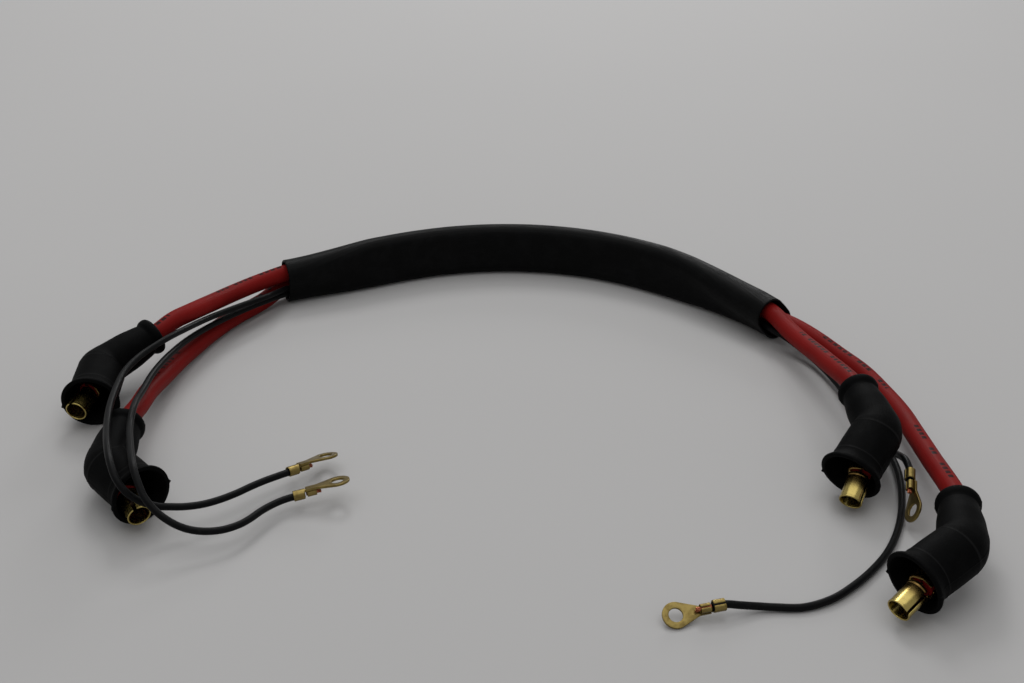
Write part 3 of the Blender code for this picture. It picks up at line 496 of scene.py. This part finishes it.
def sleeve_rings(centre, run, inset):
    """Oval rings: a straight side up to both end arcs, all of it set in by inset from the outside, and
    dipped across by a cosine of the height and a slow wave along the run."""
    straight, radius, lean = sleeve_sections(run, runs_along(centre)[-1])
    place = read_at(centre, run)
    ahead = unit(read_at(centre, run, np.gradient(centre, axis=0)))
    across = np.stack((-ahead[:, 1], ahead[:, 0], np.zeros(len(run))), axis=1)
    upward = np.array((0.0, 0.0, 1.0))
    tall = upward * np.cos(lean)[:, None] - across * np.sin(lean)[:, None]
    thick = upward * np.sin(lean)[:, None] + across * np.cos(lean)[:, None]
    place = place + upward * (straight * np.cos(lean) + radius)[:, None]
    perimeter = 2 * np.pi * (radius - inset) + 4 * straight
    walked = perimeter[:, None] * (np.arange(SLEEVE_SIDES) / SLEEVE_SIDES)
    arc = (np.pi * (radius - inset))[:, None]
    flat = 2 * straight[:, None]
    turned = np.clip(walked, 0, arc) + np.clip(walked - arc - flat, 0, arc)
    turn = turned / (radius - inset)[:, None]
    slid = np.clip(walked - arc, 0, flat) - np.clip(walked - 2 * arc - flat, 0, flat)
    rise = (radius - inset)[:, None] * np.sin(turn) + straight[:, None] - slid
    out = -(radius - inset)[:, None] * np.cos(turn)
    from_mouth = np.clip(np.minimum(run, runs_along(centre)[-1] - run) / DIP_STARTS_OVER, 0, 1)[:, None]
    dip = SLEEVE_DIP * from_mouth * np.exp(-(rise / DIP_WIDTH) ** 2)
    wave = SLEEVE_WAVE * np.sin(2 * np.pi * run / WAVE_LENGTH)[:, None]
    wave = wave * np.sin(2 * np.pi * rise / WAVE_HEIGHT)
    out = out - np.sign(out) * (dip + np.abs(wave)) * np.clip(np.abs(out) / FADES_OVER, 0, 1)
    return place[:, None] + tall[:, None] * rise[..., None] + thick[:, None] * out[..., None]


centre = smooth([(x, y, 0.0) for x, y in SLEEVE_ROUTE], SLEEVE_STEP)
length = runs_along(centre)[-1]
half = SLEEVE_WALL / 2
run = np.linspace(half, length - half, SLEEVE_STATIONS)
turn = np.linspace(0, np.pi, RIM_STEPS)[1:-1]
rim_out = half * np.sin(turn)
rim_in = half * (1 - np.cos(turn))
rings = [sleeve_rings(centre, run, 0.0)]
rings += [
    sleeve_rings(centre, np.array([length - half + out]), inset) for out, inset in zip(rim_out, rim_in)]
rings += [sleeve_rings(centre, run[::-1], SLEEVE_WALL)]
rings += [
    sleeve_rings(centre, np.array([half - out]), SLEEVE_WALL - inset)
    for out, inset in zip(rim_out, rim_in)]
rings = np.vstack(rings)
lengthwise = np.concatenate((run, run[-1] + rim_in, run[::-1], run[0] - rim_in))

sleeve_pvc = Finish("black_sleeve_pvc", {"Specular IOR Level": 0.055})
place = sleeve_pvc.place()
around, along = sleeve_pvc.lay()
drawn_lines = sleeve_pvc.lines(around, along, fineness=11.0, length=0.060)
creases = sleeve_pvc.lines(around, along, fineness=1.6, length=0.011)
grain = sleeve_pvc.noise(place, scale=1800.0, detail=3.0)
bloom = sleeve_pvc.step(
    sleeve_pvc.noise(place, scale=130.0, detail=7.0, roughness=0.65), low=0.42, high=0.72)
scratches = sleeve_pvc.step(
    sleeve_pvc.lines(around, along, fineness=26.0, length=0.008), low=0.62, high=0.72)
sleeve_pvc.show(
    Base_Color=sleeve_pvc.blend(bloom * 0.45 + scratches * 0.25, SLEEVE_BLACK, SLEEVE_BLOOM),
    Roughness=0.42 + 0.14 * bloom + 0.10 * scratches,
    Normal=sleeve_pvc.bump(creases + 0.45 * drawn_lines + 0.12 * grain, distance=0.00022))
add_piece("loom_sleeve_skin", [skin(rings, lengthwise, closed=True)], sleeve_pvc, "sleeve", "loom_sleeve")

# Boots
# Each real boot is moulded in one piece from matt black rubber, and is pushed over the lead and its brass
# terminal. A rounded collar grips the lead, the barrel turns off at 45 degrees, and its lip flares like a
# bell. The mould leaves a thin flash in the plane of the bend, two seams round it, and a nib on the lip.
NECK_LENGTH = 0.0238
BARREL_LENGTH = 0.0215
ELBOW_BEND = math.radians(45)
ELBOW_RADIUS = 0.0090
NECK_R = 0.0067
COLLAR_R = 0.0070
GROOVE_R = 0.0061
COLLAR_LENGTH = 0.0040
FLARE_R = 0.0072
ELBOW_R = 0.0076
SHOULDER_R = 0.0086
BARREL_R = 0.0088
LIP_R = 0.0104
LIP_LENGTH = 0.0040
SEAL_R = 0.0038
SEAL_LENGTH = 0.0110
BARREL_WALL = 0.0013
LIP_WALL = 0.0013
BOOT_SIDES = 128
PROFILE_STEP = 0.00035
FLASH_HEIGHT = 0.00011
FLASH_WIDTH = 0.00020
SEAM_HEIGHT = 0.00010
SEAM_WIDTH = 0.00022
SHOULDER_SEAM = 0.0030
LIP_SEAM = 0.0158
NIB_HEIGHT = 0.00042
NIB_WIDTH = 0.00055
NIB_BACK = 0.0012
NIB_RAMP = 0.0010
NIB_INNER_R = 0.0094
NIB_RIM = 0.0006
NIB_OUT = 0.6
CROWDING = 0.45
BOOTS = {
    "left_rear": ((-0.1440, 0.0092, 0.0129), -133.6, -12.0, 2.4),
    "left_front": ((-0.1261, -0.0553, 0.0115), -91.3, -5.0, 0.7),
    "right_rear": ((0.1302, -0.0439, 0.0183), -83.8, -6.0, -155.1),
    "right_front": ((0.1418, -0.1044, 0.0149), -101.9, 0.0, -162.7),
}
RUBBER_BLACK = (0.0018, 0.0019, 0.0020, 1)
RUBBER_BLOOM = (0.0046, 0.0047, 0.0049, 1)
RUBBER_EDGE = (0.0110, 0.0110, 0.0112, 1)


def turned_by(axis, degrees):
    """The 4 by 4 matrix that turns points about one of the three axes."""
    first, second = {"X": (1, 2), "Y": (2, 0), "Z": (0, 1)}[axis]
    matrix = np.eye(4)
    angle = math.radians(degrees)
    matrix[first, first] = matrix[second, second] = math.cos(angle)
    matrix[first, second], matrix[second, first] = -math.sin(angle), math.sin(angle)
    return matrix


def moved_to(origin):
    """The 4 by 4 matrix that moves points by a vector."""
    matrix = np.eye(4)
    matrix[:3, 3] = origin
    return matrix


def moved(part, matrix):
    """A skin with its points taken through a 4 by 4 matrix."""
    points, faces, uv = part
    return points @ matrix[:3, :3].T + matrix[:3, 3], faces, uv


def boot_rings(at, radii, angles):
    """Rings round the boot's bent axis, at distances from its elbow's corner: the axis runs straight, then
    round a 45 degree arc, then straight. Each ring is centre + radius * (cos a * side + sin a * Z)."""
    tangent = ELBOW_RADIUS * math.tan(ELBOW_BEND / 2)
    turned = ELBOW_BEND * np.clip((at + tangent) / (2 * tangent), 0, 1)
    before = np.minimum(at + tangent, 0)
    after = np.maximum(at - tangent, 0)
    x = ELBOW_RADIUS * np.sin(turned) - tangent + before + after * math.cos(ELBOW_BEND)
    y = ELBOW_RADIUS * (1 - np.cos(turned)) + after * math.sin(ELBOW_BEND)
    centre = np.stack((x, y, np.zeros_like(x)), axis=-1)
    side = np.stack((np.sin(turned), -np.cos(turned), np.zeros_like(x)), axis=-1)
    around = np.cos(angles)[..., None] * side + np.sin(angles)[..., None] * np.array((0.0, 0.0, 1.0))
    return centre + radii[..., None] * around


bend = ELBOW_RADIUS * math.tan(ELBOW_BEND / 2)
collar = -NECK_LENGTH
lip = BARREL_LENGTH - LIP_LENGTH
outside = smooth([
    (collar, COLLAR_R - 0.0018, 0), (collar + 0.0001, COLLAR_R - 0.0008, 0),
    (collar + 0.0007, COLLAR_R - 0.0001, 0), (collar + 0.0018, COLLAR_R + 0.0001, 0),
    (collar + 0.0030, COLLAR_R - 0.0002, 0), (collar + 0.0036, GROOVE_R + 0.0003, 0),
    (collar + COLLAR_LENGTH + 0.0003, GROOVE_R, 0), (collar + 0.0054, GROOVE_R + 0.0002, 0),
    (collar + 0.0082, NECK_R, 0),
    (-0.0118, FLARE_R, 0), (-0.0075, FLARE_R + 0.0002, 0), (-bend, ELBOW_R, 0),
    (-bend / 3, ELBOW_R + 0.4 * (SHOULDER_R - ELBOW_R), 0), (bend / 3, SHOULDER_R - 0.0001, 0),
    (bend, SHOULDER_R, 0), (0.0100, SHOULDER_R + 0.0001, 0), (lip, BARREL_R, 0),
    (lip + 0.0013, BARREL_R + 0.0005, 0), (lip + 0.0024, LIP_R - 0.0004, 0),
    (lip + 0.0032, LIP_R, 0), (BARREL_LENGTH - 0.0002, LIP_R - 0.0001, 0),
    (BARREL_LENGTH, LIP_R - 0.0004, 0),
], PROFILE_STEP)
inside = smooth([
    (BARREL_LENGTH, LIP_R - LIP_WALL, 0), (BARREL_LENGTH - 0.0003, LIP_R - LIP_WALL - 0.0002, 0),
    (lip + 0.0012, BARREL_R - BARREL_WALL + 0.0003, 0), (lip, BARREL_R - BARREL_WALL, 0),
    (bend, BARREL_R - BARREL_WALL, 0), (bend / 3, SHOULDER_R - 0.0016, 0), (-bend / 2, 0.0065, 0),
    (collar + SEAL_LENGTH + 0.0040, 0.0056, 0), (collar + SEAL_LENGTH, SEAL_R, 0),
    (collar + 0.0008, SEAL_R, 0), (collar, SEAL_R + 0.0005, 0),
], 2 * PROFILE_STEP)
profile = np.vstack((outside, inside))
is_outside = np.concatenate((np.ones(len(outside)), np.zeros(len(inside))))[:, None]
at, radii = profile[:, :1], profile[:, 1:2]
share = np.arange(BOOT_SIDES) / BOOT_SIDES
# The columns crowd towards the flash and the nib: the turn is 2 pi s less a part of sin 4 pi s.
angles = 2 * np.pi * share - CROWDING * np.sin(4 * np.pi * share)
off_plane = np.abs(np.sin(angles)) * radii
flash = FLASH_HEIGHT * np.exp(-((off_plane / FLASH_WIDTH) ** 2))
seams = sum(SEAM_HEIGHT * np.exp(-(((at - seam) / SEAM_WIDTH) ** 2)) for seam in (SHOULDER_SEAM, LIP_SEAM))
near_lip = (
    np.clip((at - BARREL_LENGTH + NIB_BACK) / NIB_RAMP, 0, 1)
    * np.clip((radii - NIB_INNER_R) / NIB_RIM, 0, 1))
nib = NIB_HEIGHT * near_lip * np.exp(-((off_plane / NIB_WIDTH) ** 2))
at = np.broadcast_to(at, (len(profile), BOOT_SIDES)) + NIB_OUT * nib
radii = radii + is_outside * (flash + seams) + nib
boot = skin(
    boot_rings(at, radii, np.broadcast_to(angles, at.shape)), profile[:, 0] * is_outside[:, 0], closed=True)

boot_rubber = Finish("matt_boot_rubber", {"Specular IOR Level": 0.03})
place = boot_rubber.place()
around, along = boot_rubber.lay()
bloom = boot_rubber.step(
    boot_rubber.noise(place, scale=190.0, detail=6.0, roughness=0.65), low=0.40, high=0.75)
grain = boot_rubber.noise(place, scale=2400.0, detail=4.0, roughness=0.6)
dimples = boot_rubber.noise(place, scale=520.0, detail=3.0)
flash_line = boot_rubber.step(
    boot_rubber.math("ABSOLUTE", boot_rubber.math("SINE", around * (2 * math.pi))), low=0.030, high=0.004)
seam_lines = [boot_rubber.math("COMPARE", along, seam, SEAM_WIDTH) for seam in (SHOULDER_SEAM, LIP_SEAM)]
raised = boot_rubber.math("MAXIMUM", flash_line, seam_lines[0] + seam_lines[1])
rubber = boot_rubber.blend(bloom * 0.5, RUBBER_BLACK, RUBBER_BLOOM)
boot_rubber.show(
    Base_Color=boot_rubber.blend(raised * 0.55, rubber, RUBBER_EDGE),
    Roughness=0.56 + 0.12 * grain - 0.10 * raised,
    Normal=boot_rubber.bump(grain + 0.8 * dimples, distance=0.00006))

for name, (elbow, heading, climb, roll) in BOOTS.items():
    matrix = moved_to(elbow) @ turned_by("Z", heading) @ turned_by("Y", -climb) @ turned_by("X", roll)
    add_piece("boot_" + name + "_rubber", [moved(boot, matrix)], boot_rubber, "boot_rubber", "boot_" + name)

# Push-on terminals
# Each real terminal is one stamped strip of brass, rolled into a slit tube that springs onto the plug's tip.
# A short strap carries a band that is crimped round the lead's end. Rolled beads stiffen the tube's mouth
# and foot, and the cut edges show bright.
BRASS_SHEET = 0.0005
TUBE_R = 0.00325
TUBE_LENGTH = 0.0095
TUBE_SLIT = math.radians(9)
STRAP_LENGTH = 0.0015
STRAP_HALF = math.radians(55)
BAND_R = 0.0038
BAND_LENGTH = 0.0062
BEAD = 0.0002
BEAD_HALF_WIDTH = 0.0005
SHEET_ROWS = 110
SHEET_COLUMNS = 72
SIDE_ROUND = 0.06
WINGS_FROM = 2.0
WINGS_OVER = 0.8
CURL_FROM = 0.66
CURL_POWER = 1.5
SLIT_TURNS = {"left_rear": 20.0, "left_front": 20.0, "right_rear": -70.0, "right_front": -70.0}
BRASS_BRIGHT = (0.47, 0.37, 0.12, 1)
BRASS_TONED = (0.30, 0.22, 0.065, 1)
# Painted shade: the dark brown that the tube's far end is given where it lies deep inside the boot.
BRASS_PAINTED_SHADE = (0.14, 0.060, 0.020, 1)


def eased(count, length, rounding):
    """Distances from 0 to length with a quarter circle's steps at both ends, and the share of the full
    thickness at each, which is the height of that quarter circle."""
    turn = np.linspace(0, np.pi / 2, ROUND_STEPS)
    into = rounding * (1 - np.cos(turn))
    middle = np.linspace(rounding, length - rounding, count)[1:-1]
    at = np.concatenate((into, middle, length - into[::-1]))
    return at, np.concatenate((np.sin(turn), np.ones(len(middle)), np.sin(turn)[::-1]))


def sheet(rows, sheet_half, turns_in=0.0):
    """A bent strip with round edges, from rows of (distance, radius, half angle, height of its centre). A
    point lies at the radius from the centre, at the half angle times the column's share, and both faces lie
    half a sheet off it, along its normal. The wings' ends may turn in towards the centre."""
    rows = np.array(rows)
    reach = abs(rows[-1, 0] - rows[0, 0])
    forward = math.copysign(1.0, rows[-1, 0] - rows[0, 0])
    at, row_full = eased(SHEET_ROWS, reach, sheet_half)
    along = rows[0, 0] + forward * at
    radius, half, height = [np.interp(at, np.abs(rows[:, 0] - rows[0, 0]), rows[:, i]) for i in (1, 2, 3)]
    across, column_full = eased(SHEET_COLUMNS, 2.0, SIDE_ROUND)
    across = across - 1
    angle = half[:, None] * across
    is_wing = np.clip((half[:, None] - WINGS_FROM) / WINGS_OVER, 0, 1)
    curl = np.clip((abs(across) - CURL_FROM) / (1 - CURL_FROM), 0, 1) ** CURL_POWER
    turned_in = turns_in * is_wing * curl
    reach_out = radius[:, None] * (1 - turned_in)
    middle = np.stack((
        np.broadcast_to(along[:, None], angle.shape), reach_out * np.sin(angle),
        height[:, None] - reach_out * np.cos(angle)), axis=-1)
    normal = unit(np.cross(np.gradient(middle, axis=1), np.gradient(middle, axis=0))) * forward
    full = (row_full[:, None] * column_full)[..., None] * sheet_half * normal
    return skin(np.concatenate((middle + full, (middle - full)[:, ::-1]), axis=1)[:, ::int(forward)], along)


def frame_along(origin, ahead, roll):
    """The 4 by 4 matrix of a frame with X ahead and Z upward, rolled about X."""
    matrix = np.eye(4)
    up = np.array((0.0, 0.0, 1.0))
    up = unit(up - ahead * (up @ ahead))
    matrix[:3, :3] = np.stack((ahead, np.cross(up, ahead), up), axis=1)
    return moved_to(origin) @ matrix @ turned_by("X", roll)


def ends_of(route, left, right):
    """The two ends of a route: each end point, and the straight way out of it."""
    points = np.array(route)
    return {
        left: (points[0], unit(points[0] - points[1])),
        right: (points[-1], unit(points[-1] - points[-2]))}


wrap = math.pi - TUBE_SLIT
foot = -TUBE_LENGTH
band = foot - STRAP_LENGTH
mid_tube = TUBE_R + BRASS_SHEET / 2
mid_band = BAND_R + BRASS_SHEET / 2
terminal_rows = [
    (0.0, mid_tube + 0.7 * BEAD, wrap, 0), (-0.0003, mid_tube + 0.4 * BEAD, wrap, 0),
    (-2 * BEAD_HALF_WIDTH, mid_tube, wrap, 0), (foot + 2 * BEAD_HALF_WIDTH, mid_tube, wrap, 0),
    (foot + BEAD_HALF_WIDTH, mid_tube + BEAD, wrap, 0), (foot, mid_tube, wrap, 0),
    (foot - 0.0004, mid_tube, STRAP_HALF, 0), (band + 0.0004, mid_band, STRAP_HALF, 0),
    (band, mid_band, wrap, 0), (band - 0.0014, mid_band, wrap, 0),
    (band - 0.0019, mid_band - 0.00012, wrap, 0),
    (band - 0.0024, mid_band, wrap, 0), (band - BAND_LENGTH, mid_band, wrap, 0),
]

bright_brass = Finish("bright_brass_sheet", {"Metallic": 1.0})
place = bright_brass.place()
around, along = bright_brass.lay()
drawn_lines = bright_brass.lines(around, along, fineness=16.0, length=0.004)
tarnish = bright_brass.step(
    bright_brass.noise(place, scale=620.0, detail=6.0, roughness=0.65), low=0.48, high=0.78)
toned = bright_brass.blend(tarnish * 0.35, BRASS_BRIGHT, BRASS_TONED)
# Painted shade: from 3 mm in from the mouth to the foot, strap and band, the brass darkens towards this dark
# brown, standing in for the shade inside the boot.
painted_shade_inside = bright_brass.step(along, low=-0.0030, high=-0.0085)
bright_brass.show(
    Base_Color=bright_brass.blend(painted_shade_inside * 0.75, toned, BRASS_PAINTED_SHADE),
    Roughness=0.20 + 0.12 * tarnish + 0.10 * drawn_lines,
    Normal=bright_brass.bump(drawn_lines, distance=0.000008))

lead_ends = {
    **ends_of(LEAD_REAR_ROUTE, "left_rear", "right_rear"),
    **ends_of(LEAD_FRONT_ROUTE, "left_front", "right_front")}
terminal = sheet(terminal_rows, BRASS_SHEET / 2)
for name, (end, ahead) in lead_ends.items():
    seat = frame_along(end, ahead, SLIT_TURNS[name]) @ moved_to((STRAP_LENGTH + TUBE_LENGTH, 0, 0))
    part = moved(terminal, seat)
    add_piece("terminal_" + name + "_brass", [part], bright_brass, "brass", "terminal_" + name)

# Lead cores
# Each real lead's conductor is a fine resistance wire, wound as a tight spiral round a dark fibre core. It
# is bared for a few millimetres inside the brass tube.
CORE_R = 0.0010
CORE_LENGTH = 0.0045
CORE_PITCH = 0.00045
CORE_RIDGE = 0.00007
CORE_STEP = 0.00005
CORE_ROUND = 0.00020
CORE_SIDES = 40
CORE_DARK = (0.020, 0.0085, 0.0080, 1)
CORE_WIRE = (0.085, 0.050, 0.040, 1)

at, radii = rod_stations(CORE_LENGTH, CORE_R - CORE_RIDGE, CORE_STEP, CORE_ROUND)
spiral = np.cos(2 * np.pi * (at[:, None] / CORE_PITCH - np.arange(CORE_SIDES) / CORE_SIDES))
radii = radii[:, None] + CORE_RIDGE * (0.5 + 0.5 * spiral)
core_line = np.stack((at + GAP, np.zeros_like(at), np.zeros_like(at)), axis=1)
core = skin(rings_round(core_line, radii, CORE_SIDES), at)

wound_core = Finish("wound_lead_core", {"Specular IOR Level": 0.35})
around, along = wound_core.lay()
turns = wound_core.math("FRACT", along / CORE_PITCH - around)
on_wire = wound_core.step(wound_core.math("ABSOLUTE", turns - 0.5), low=0.15, high=0.40)
wound_core.show(
    Base_Color=wound_core.blend(on_wire, CORE_DARK, CORE_WIRE), Metallic=0.6 * on_wire,
    Roughness=0.62 - 0.24 * on_wire)
for name, (end, ahead) in lead_ends.items():
    part = moved(core, frame_along(end, ahead, 0.0))
    add_piece("lead_core_" + name + "_winding", [part], wound_core, "lead_core", "lead_core_" + name)

# Ring terminals
# Each real terminal is stamped from one brass sheet: a flat ring for an M4 screw, a tongue that widens into
# it, wings curled over the bare strands, and longer wings rolled round the insulation.
WIRE_AXIS = 0.0015
RING_R = 0.0041
RING_HOLE_R = 0.00215
RING_SHEET = 0.0008
RING_REACH = 0.0150
RING_EDGE = 0.00014
TONGUE_HALF = 0.0015
TONGUE_START = 0.0043
TAPER_START = 0.0077
GRIP_LENGTH = 0.0035
CRIMP_START = 0.0047
CRIMP_LENGTH = 0.0030
WING_SHEET = 0.0004
RING_SIDES = 180
EDGE_STEPS = 4
FINITE_TO = 1.4
RING_ROLLS = {"left_rear": 160.0, "left_front": 165.0, "right_rear": 62.0, "right_front": -30.0}
RING_BRIGHT = (0.24, 0.18, 0.060, 1)
RING_TONED = (0.12, 0.080, 0.024, 1)


def ring_plate():
    """The flat plate, as a closed band of points from the hole's edge out and back: the outline is polar
    about the ring's centre. It is the ring's radius, then the tangent R / cos(t0 - t) to the tongue's
    corner, then the tongue's side w / sin t, then its end L / cos t, with t from the tongue's own way.
    The turns stop short of a right angle where their quotients aren't used."""
    corner = np.array((RING_REACH - TAPER_START, TONGUE_HALF))
    corner_turn = math.atan2(corner[1], corner[0])
    touch = corner_turn + math.acos(RING_R / np.hypot(*corner))
    fine = np.concatenate((np.linspace(0.0, 0.4, 1200), np.linspace(0.4, np.pi, 600)[1:]))
    tongue = np.minimum(
        TONGUE_HALF / np.maximum(np.sin(fine), 1e-9),
        (RING_REACH - TONGUE_START) / np.cos(np.minimum(fine, FINITE_TO)))
    taper = np.where(fine > touch, RING_R, RING_R / np.cos(np.minimum(touch - fine, FINITE_TO)))
    outline = np.where(fine < corner_turn, tongue, taper)
    edge = np.stack((outline * np.cos(fine), outline * np.sin(fine), 0 * fine), axis=1)
    walked = runs_along(edge)
    turn = np.interp(np.linspace(0, walked[-1], RING_SIDES // 2 + 1), walked, fine)
    turn = np.concatenate((turn, 2 * np.pi - turn[-2:0:-1]))
    outer = np.interp(np.minimum(turn, 2 * np.pi - turn), fine, outline)
    bow = np.linspace(0, np.pi / 2, EDGE_STEPS)
    in_from_edge = RING_EDGE * (1 - np.sin(bow))
    drop = RING_EDGE * (1 - np.cos(bow))
    top = RING_SHEET / 2
    rings = []
    for side in (1, -1):
        order = slice(None) if side == 1 else slice(None, None, -1)
        height = side * (top - drop)
        hole = [(RING_HOLE_R + inset, z) for inset, z in zip(in_from_edge[::-1], height[::-1])]
        rim = [(outer - inset, z) for inset, z in zip(in_from_edge, height)]
        rings += (hole + rim)[order]
    band = [np.stack((
        RING_REACH - radius * np.cos(turn), radius * np.sin(turn), np.full(len(turn), z)), axis=1)
        for radius, z in rings]
    return skin(np.array(band)[:, ::-1], closed=True)


wings = sheet([
    (0.0, WIRE_AXIS + 0.00026, 2.94, WIRE_AXIS), (0.0003, WIRE_AXIS + 0.0002, 2.94, WIRE_AXIS),
    (GRIP_LENGTH - 0.0003, WIRE_AXIS + 0.0002, 2.94, WIRE_AXIS),
    (GRIP_LENGTH, WIRE_AXIS + 0.0002, 2.90, WIRE_AXIS),
    (GRIP_LENGTH + 0.0003, WIRE_AXIS + 0.0002, 0.80, WIRE_AXIS),
    (CRIMP_START - 0.0003, 0.0014, 0.95, WIRE_AXIS), (CRIMP_START, 0.00126, 2.80, WIRE_AXIS),
    (CRIMP_START + 0.0004, 0.0012, 2.90, WIRE_AXIS),
    (CRIMP_START + CRIMP_LENGTH - 0.0004, 0.0012, 2.90, WIRE_AXIS),
    (CRIMP_START + CRIMP_LENGTH, 0.00126, 2.80, WIRE_AXIS),
], WING_SHEET / 2, turns_in=0.30)
ring_parts = [ring_plate(), wings]

stamped_brass = Finish("stamped_ring_brass", {"Metallic": 1.0})
place = stamped_brass.place()
tarnish = stamped_brass.step(
    stamped_brass.noise(place, scale=520.0, detail=6.0, roughness=0.65), low=0.42, high=0.74)
stamped_brass.show(
    Base_Color=stamped_brass.blend(tarnish * 0.7, RING_BRIGHT, RING_TONED),
    Roughness=0.32 + 0.16 * tarnish,
    Normal=stamped_brass.bump(stamped_brass.noise(place, scale=3200.0, detail=3.0), distance=0.000003))

wire_ends = {
    **ends_of(EARTH_SHORT_ROUTE, "left_rear", "right_rear"),
    **ends_of(EARTH_LONG_ROUTE, "left_front", "right_front")}
wire_past_grip = (CRIMP_START - GRIP_LENGTH) / 3
for name, (end, ahead) in wire_ends.items():
    into_grip = moved_to((-GRIP_LENGTH - wire_past_grip, 0, -WIRE_AXIS))
    seat = frame_along(end, ahead, RING_ROLLS[name]) @ into_grip
    parts = [moved(part, seat) for part in ring_parts]
    node = "ring_terminal_" + name
    add_piece(node + "_brass", parts, stamped_brass, "ring_brass", node)

# Bared strands
# Each earth wire's fine copper strands lie twisted together in the crimp, and fan out a little past it over
# the tongue.
STRANDS_R = 0.0007
STRAND_R = 0.00013
STRANDS_LENGTH = 0.0051
STRAND_STEP = 0.00020
STRAND_ROUND = 0.00005
STRAND_SIDES = 8
INNER_LAY = 0.00028
OUTER_LAY = 0.00055
SHORTEST_SHARE = 0.90
STRAND_SEED = 7
TWIST = 1.1
SPLAY = 0.00016
SPLAY_FROM = 0.0042
SPLAY_OVER = 0.0009
COPPER_BRIGHT = (0.50, 0.17, 0.085, 1)
COPPER_DULL = (0.22, 0.060, 0.035, 1)

inner, middle_ring, outer_ring = 1, 6, 12
lay_radius = np.concatenate((
    np.zeros(inner), np.full(middle_ring, INNER_LAY), np.full(outer_ring, OUTER_LAY)))
lay_share = np.concatenate((
    np.zeros(inner), np.arange(middle_ring) / middle_ring, (np.arange(outer_ring) + 0.5) / outer_ring))
lay_turn = lay_share * 2 * np.pi
chance = np.random.default_rng(STRAND_SEED)
strand_reach = STRANDS_LENGTH * chance.uniform(SHORTEST_SHARE, 1.0, len(lay_radius))
strands = []
for radius, first_turn, reach in zip(lay_radius, lay_turn, strand_reach):
    at, radii = rod_stations(reach, STRAND_R, STRAND_STEP, STRAND_ROUND)
    spread = radius + SPLAY * np.clip((at - SPLAY_FROM) / SPLAY_OVER, 0, 1) ** 2 * (radius / STRANDS_R)
    angle = first_turn + TWIST * at / STRANDS_LENGTH
    line = np.stack((at + GAP, spread * np.cos(angle), spread * np.sin(angle)), axis=1)
    strands.append(skin(rings_round(line, radii, STRAND_SIDES), at))

strand_copper = Finish("bare_copper_strands", {"Metallic": 1.0})
tint = strand_copper.step(
    strand_copper.noise(strand_copper.place(), scale=1500.0, detail=3.0), low=0.35, high=0.65)
strand_copper.show(
    Base_Color=strand_copper.blend(tint, COPPER_BRIGHT, COPPER_DULL), Roughness=0.30 + 0.15 * tint)
for name, (end, ahead) in wire_ends.items():
    parts = [moved(strand, frame_along(end, ahead, RING_ROLLS[name])) for strand in strands]
    add_piece("strands_" + name + "_copper", parts, strand_copper, "copper", "strands_" + name, sharp=60.0)

# Table and light
# The loom lies on a plain pale table, under a broad soft light overhead and two softer ones behind it, so
# its shadows fall a little towards the camera.
TABLE_HALF = 4.0
TABLE_PALE = (0.425, 0.420, 0.418, 1)
TABLE_PALER = (0.445, 0.440, 0.438, 1)
WORLD_LIGHT = 0.40
LIGHTS = {
    "overhead": ((0.0, 0.10, 1.50), 1.9, 11.0),
    "rear_high": ((-0.15, 1.05, 1.15), 0.45, 5.2),
    "rear_low": ((0.35, 1.50, 0.60), 0.40, 3.2),
}

corners = np.array(((-1, -1, 0), (1, -1, 0), (1, 1, 0), (-1, 1, 0))) * TABLE_HALF
table_mesh = bpy.data.meshes.new("table")
table_mesh.from_pydata(corners.tolist(), [], [(0, 1, 2, 3)])
table = bpy.data.objects.new("table", table_mesh)
bpy.context.scene.collection.objects.link(table)
pale_table = Finish("pale_table", {"Specular IOR Level": 0.10, "Roughness": 0.8})
pale_table.show(Base_Color=pale_table.blend(
    pale_table.noise(pale_table.place(), scale=3.0), TABLE_PALE, TABLE_PALER))
table_mesh.materials.append(pale_table.material)

world = bpy.data.worlds.new("studio")
bpy.context.scene.world = world
world.use_nodes = True
background = world.node_tree.nodes["Background"]
background.inputs["Color"].default_value = (1.0, 1.0, 1.0, 1)
background.inputs["Strength"].default_value = WORLD_LIGHT

for name, (at, width, power) in LIGHTS.items():
    lamp = bpy.data.lights.new(name, "AREA")
    lamp.shape = "SQUARE"
    lamp.size = width
    lamp.energy = power
    light = bpy.data.objects.new(name, lamp)
    light.location = at
    back = unit(np.array(at))
    light.rotation_euler = (math.acos(back[2]), 0.0, math.atan2(back[1], back[0]) + math.pi / 2)
    bpy.context.scene.collection.objects.link(light)
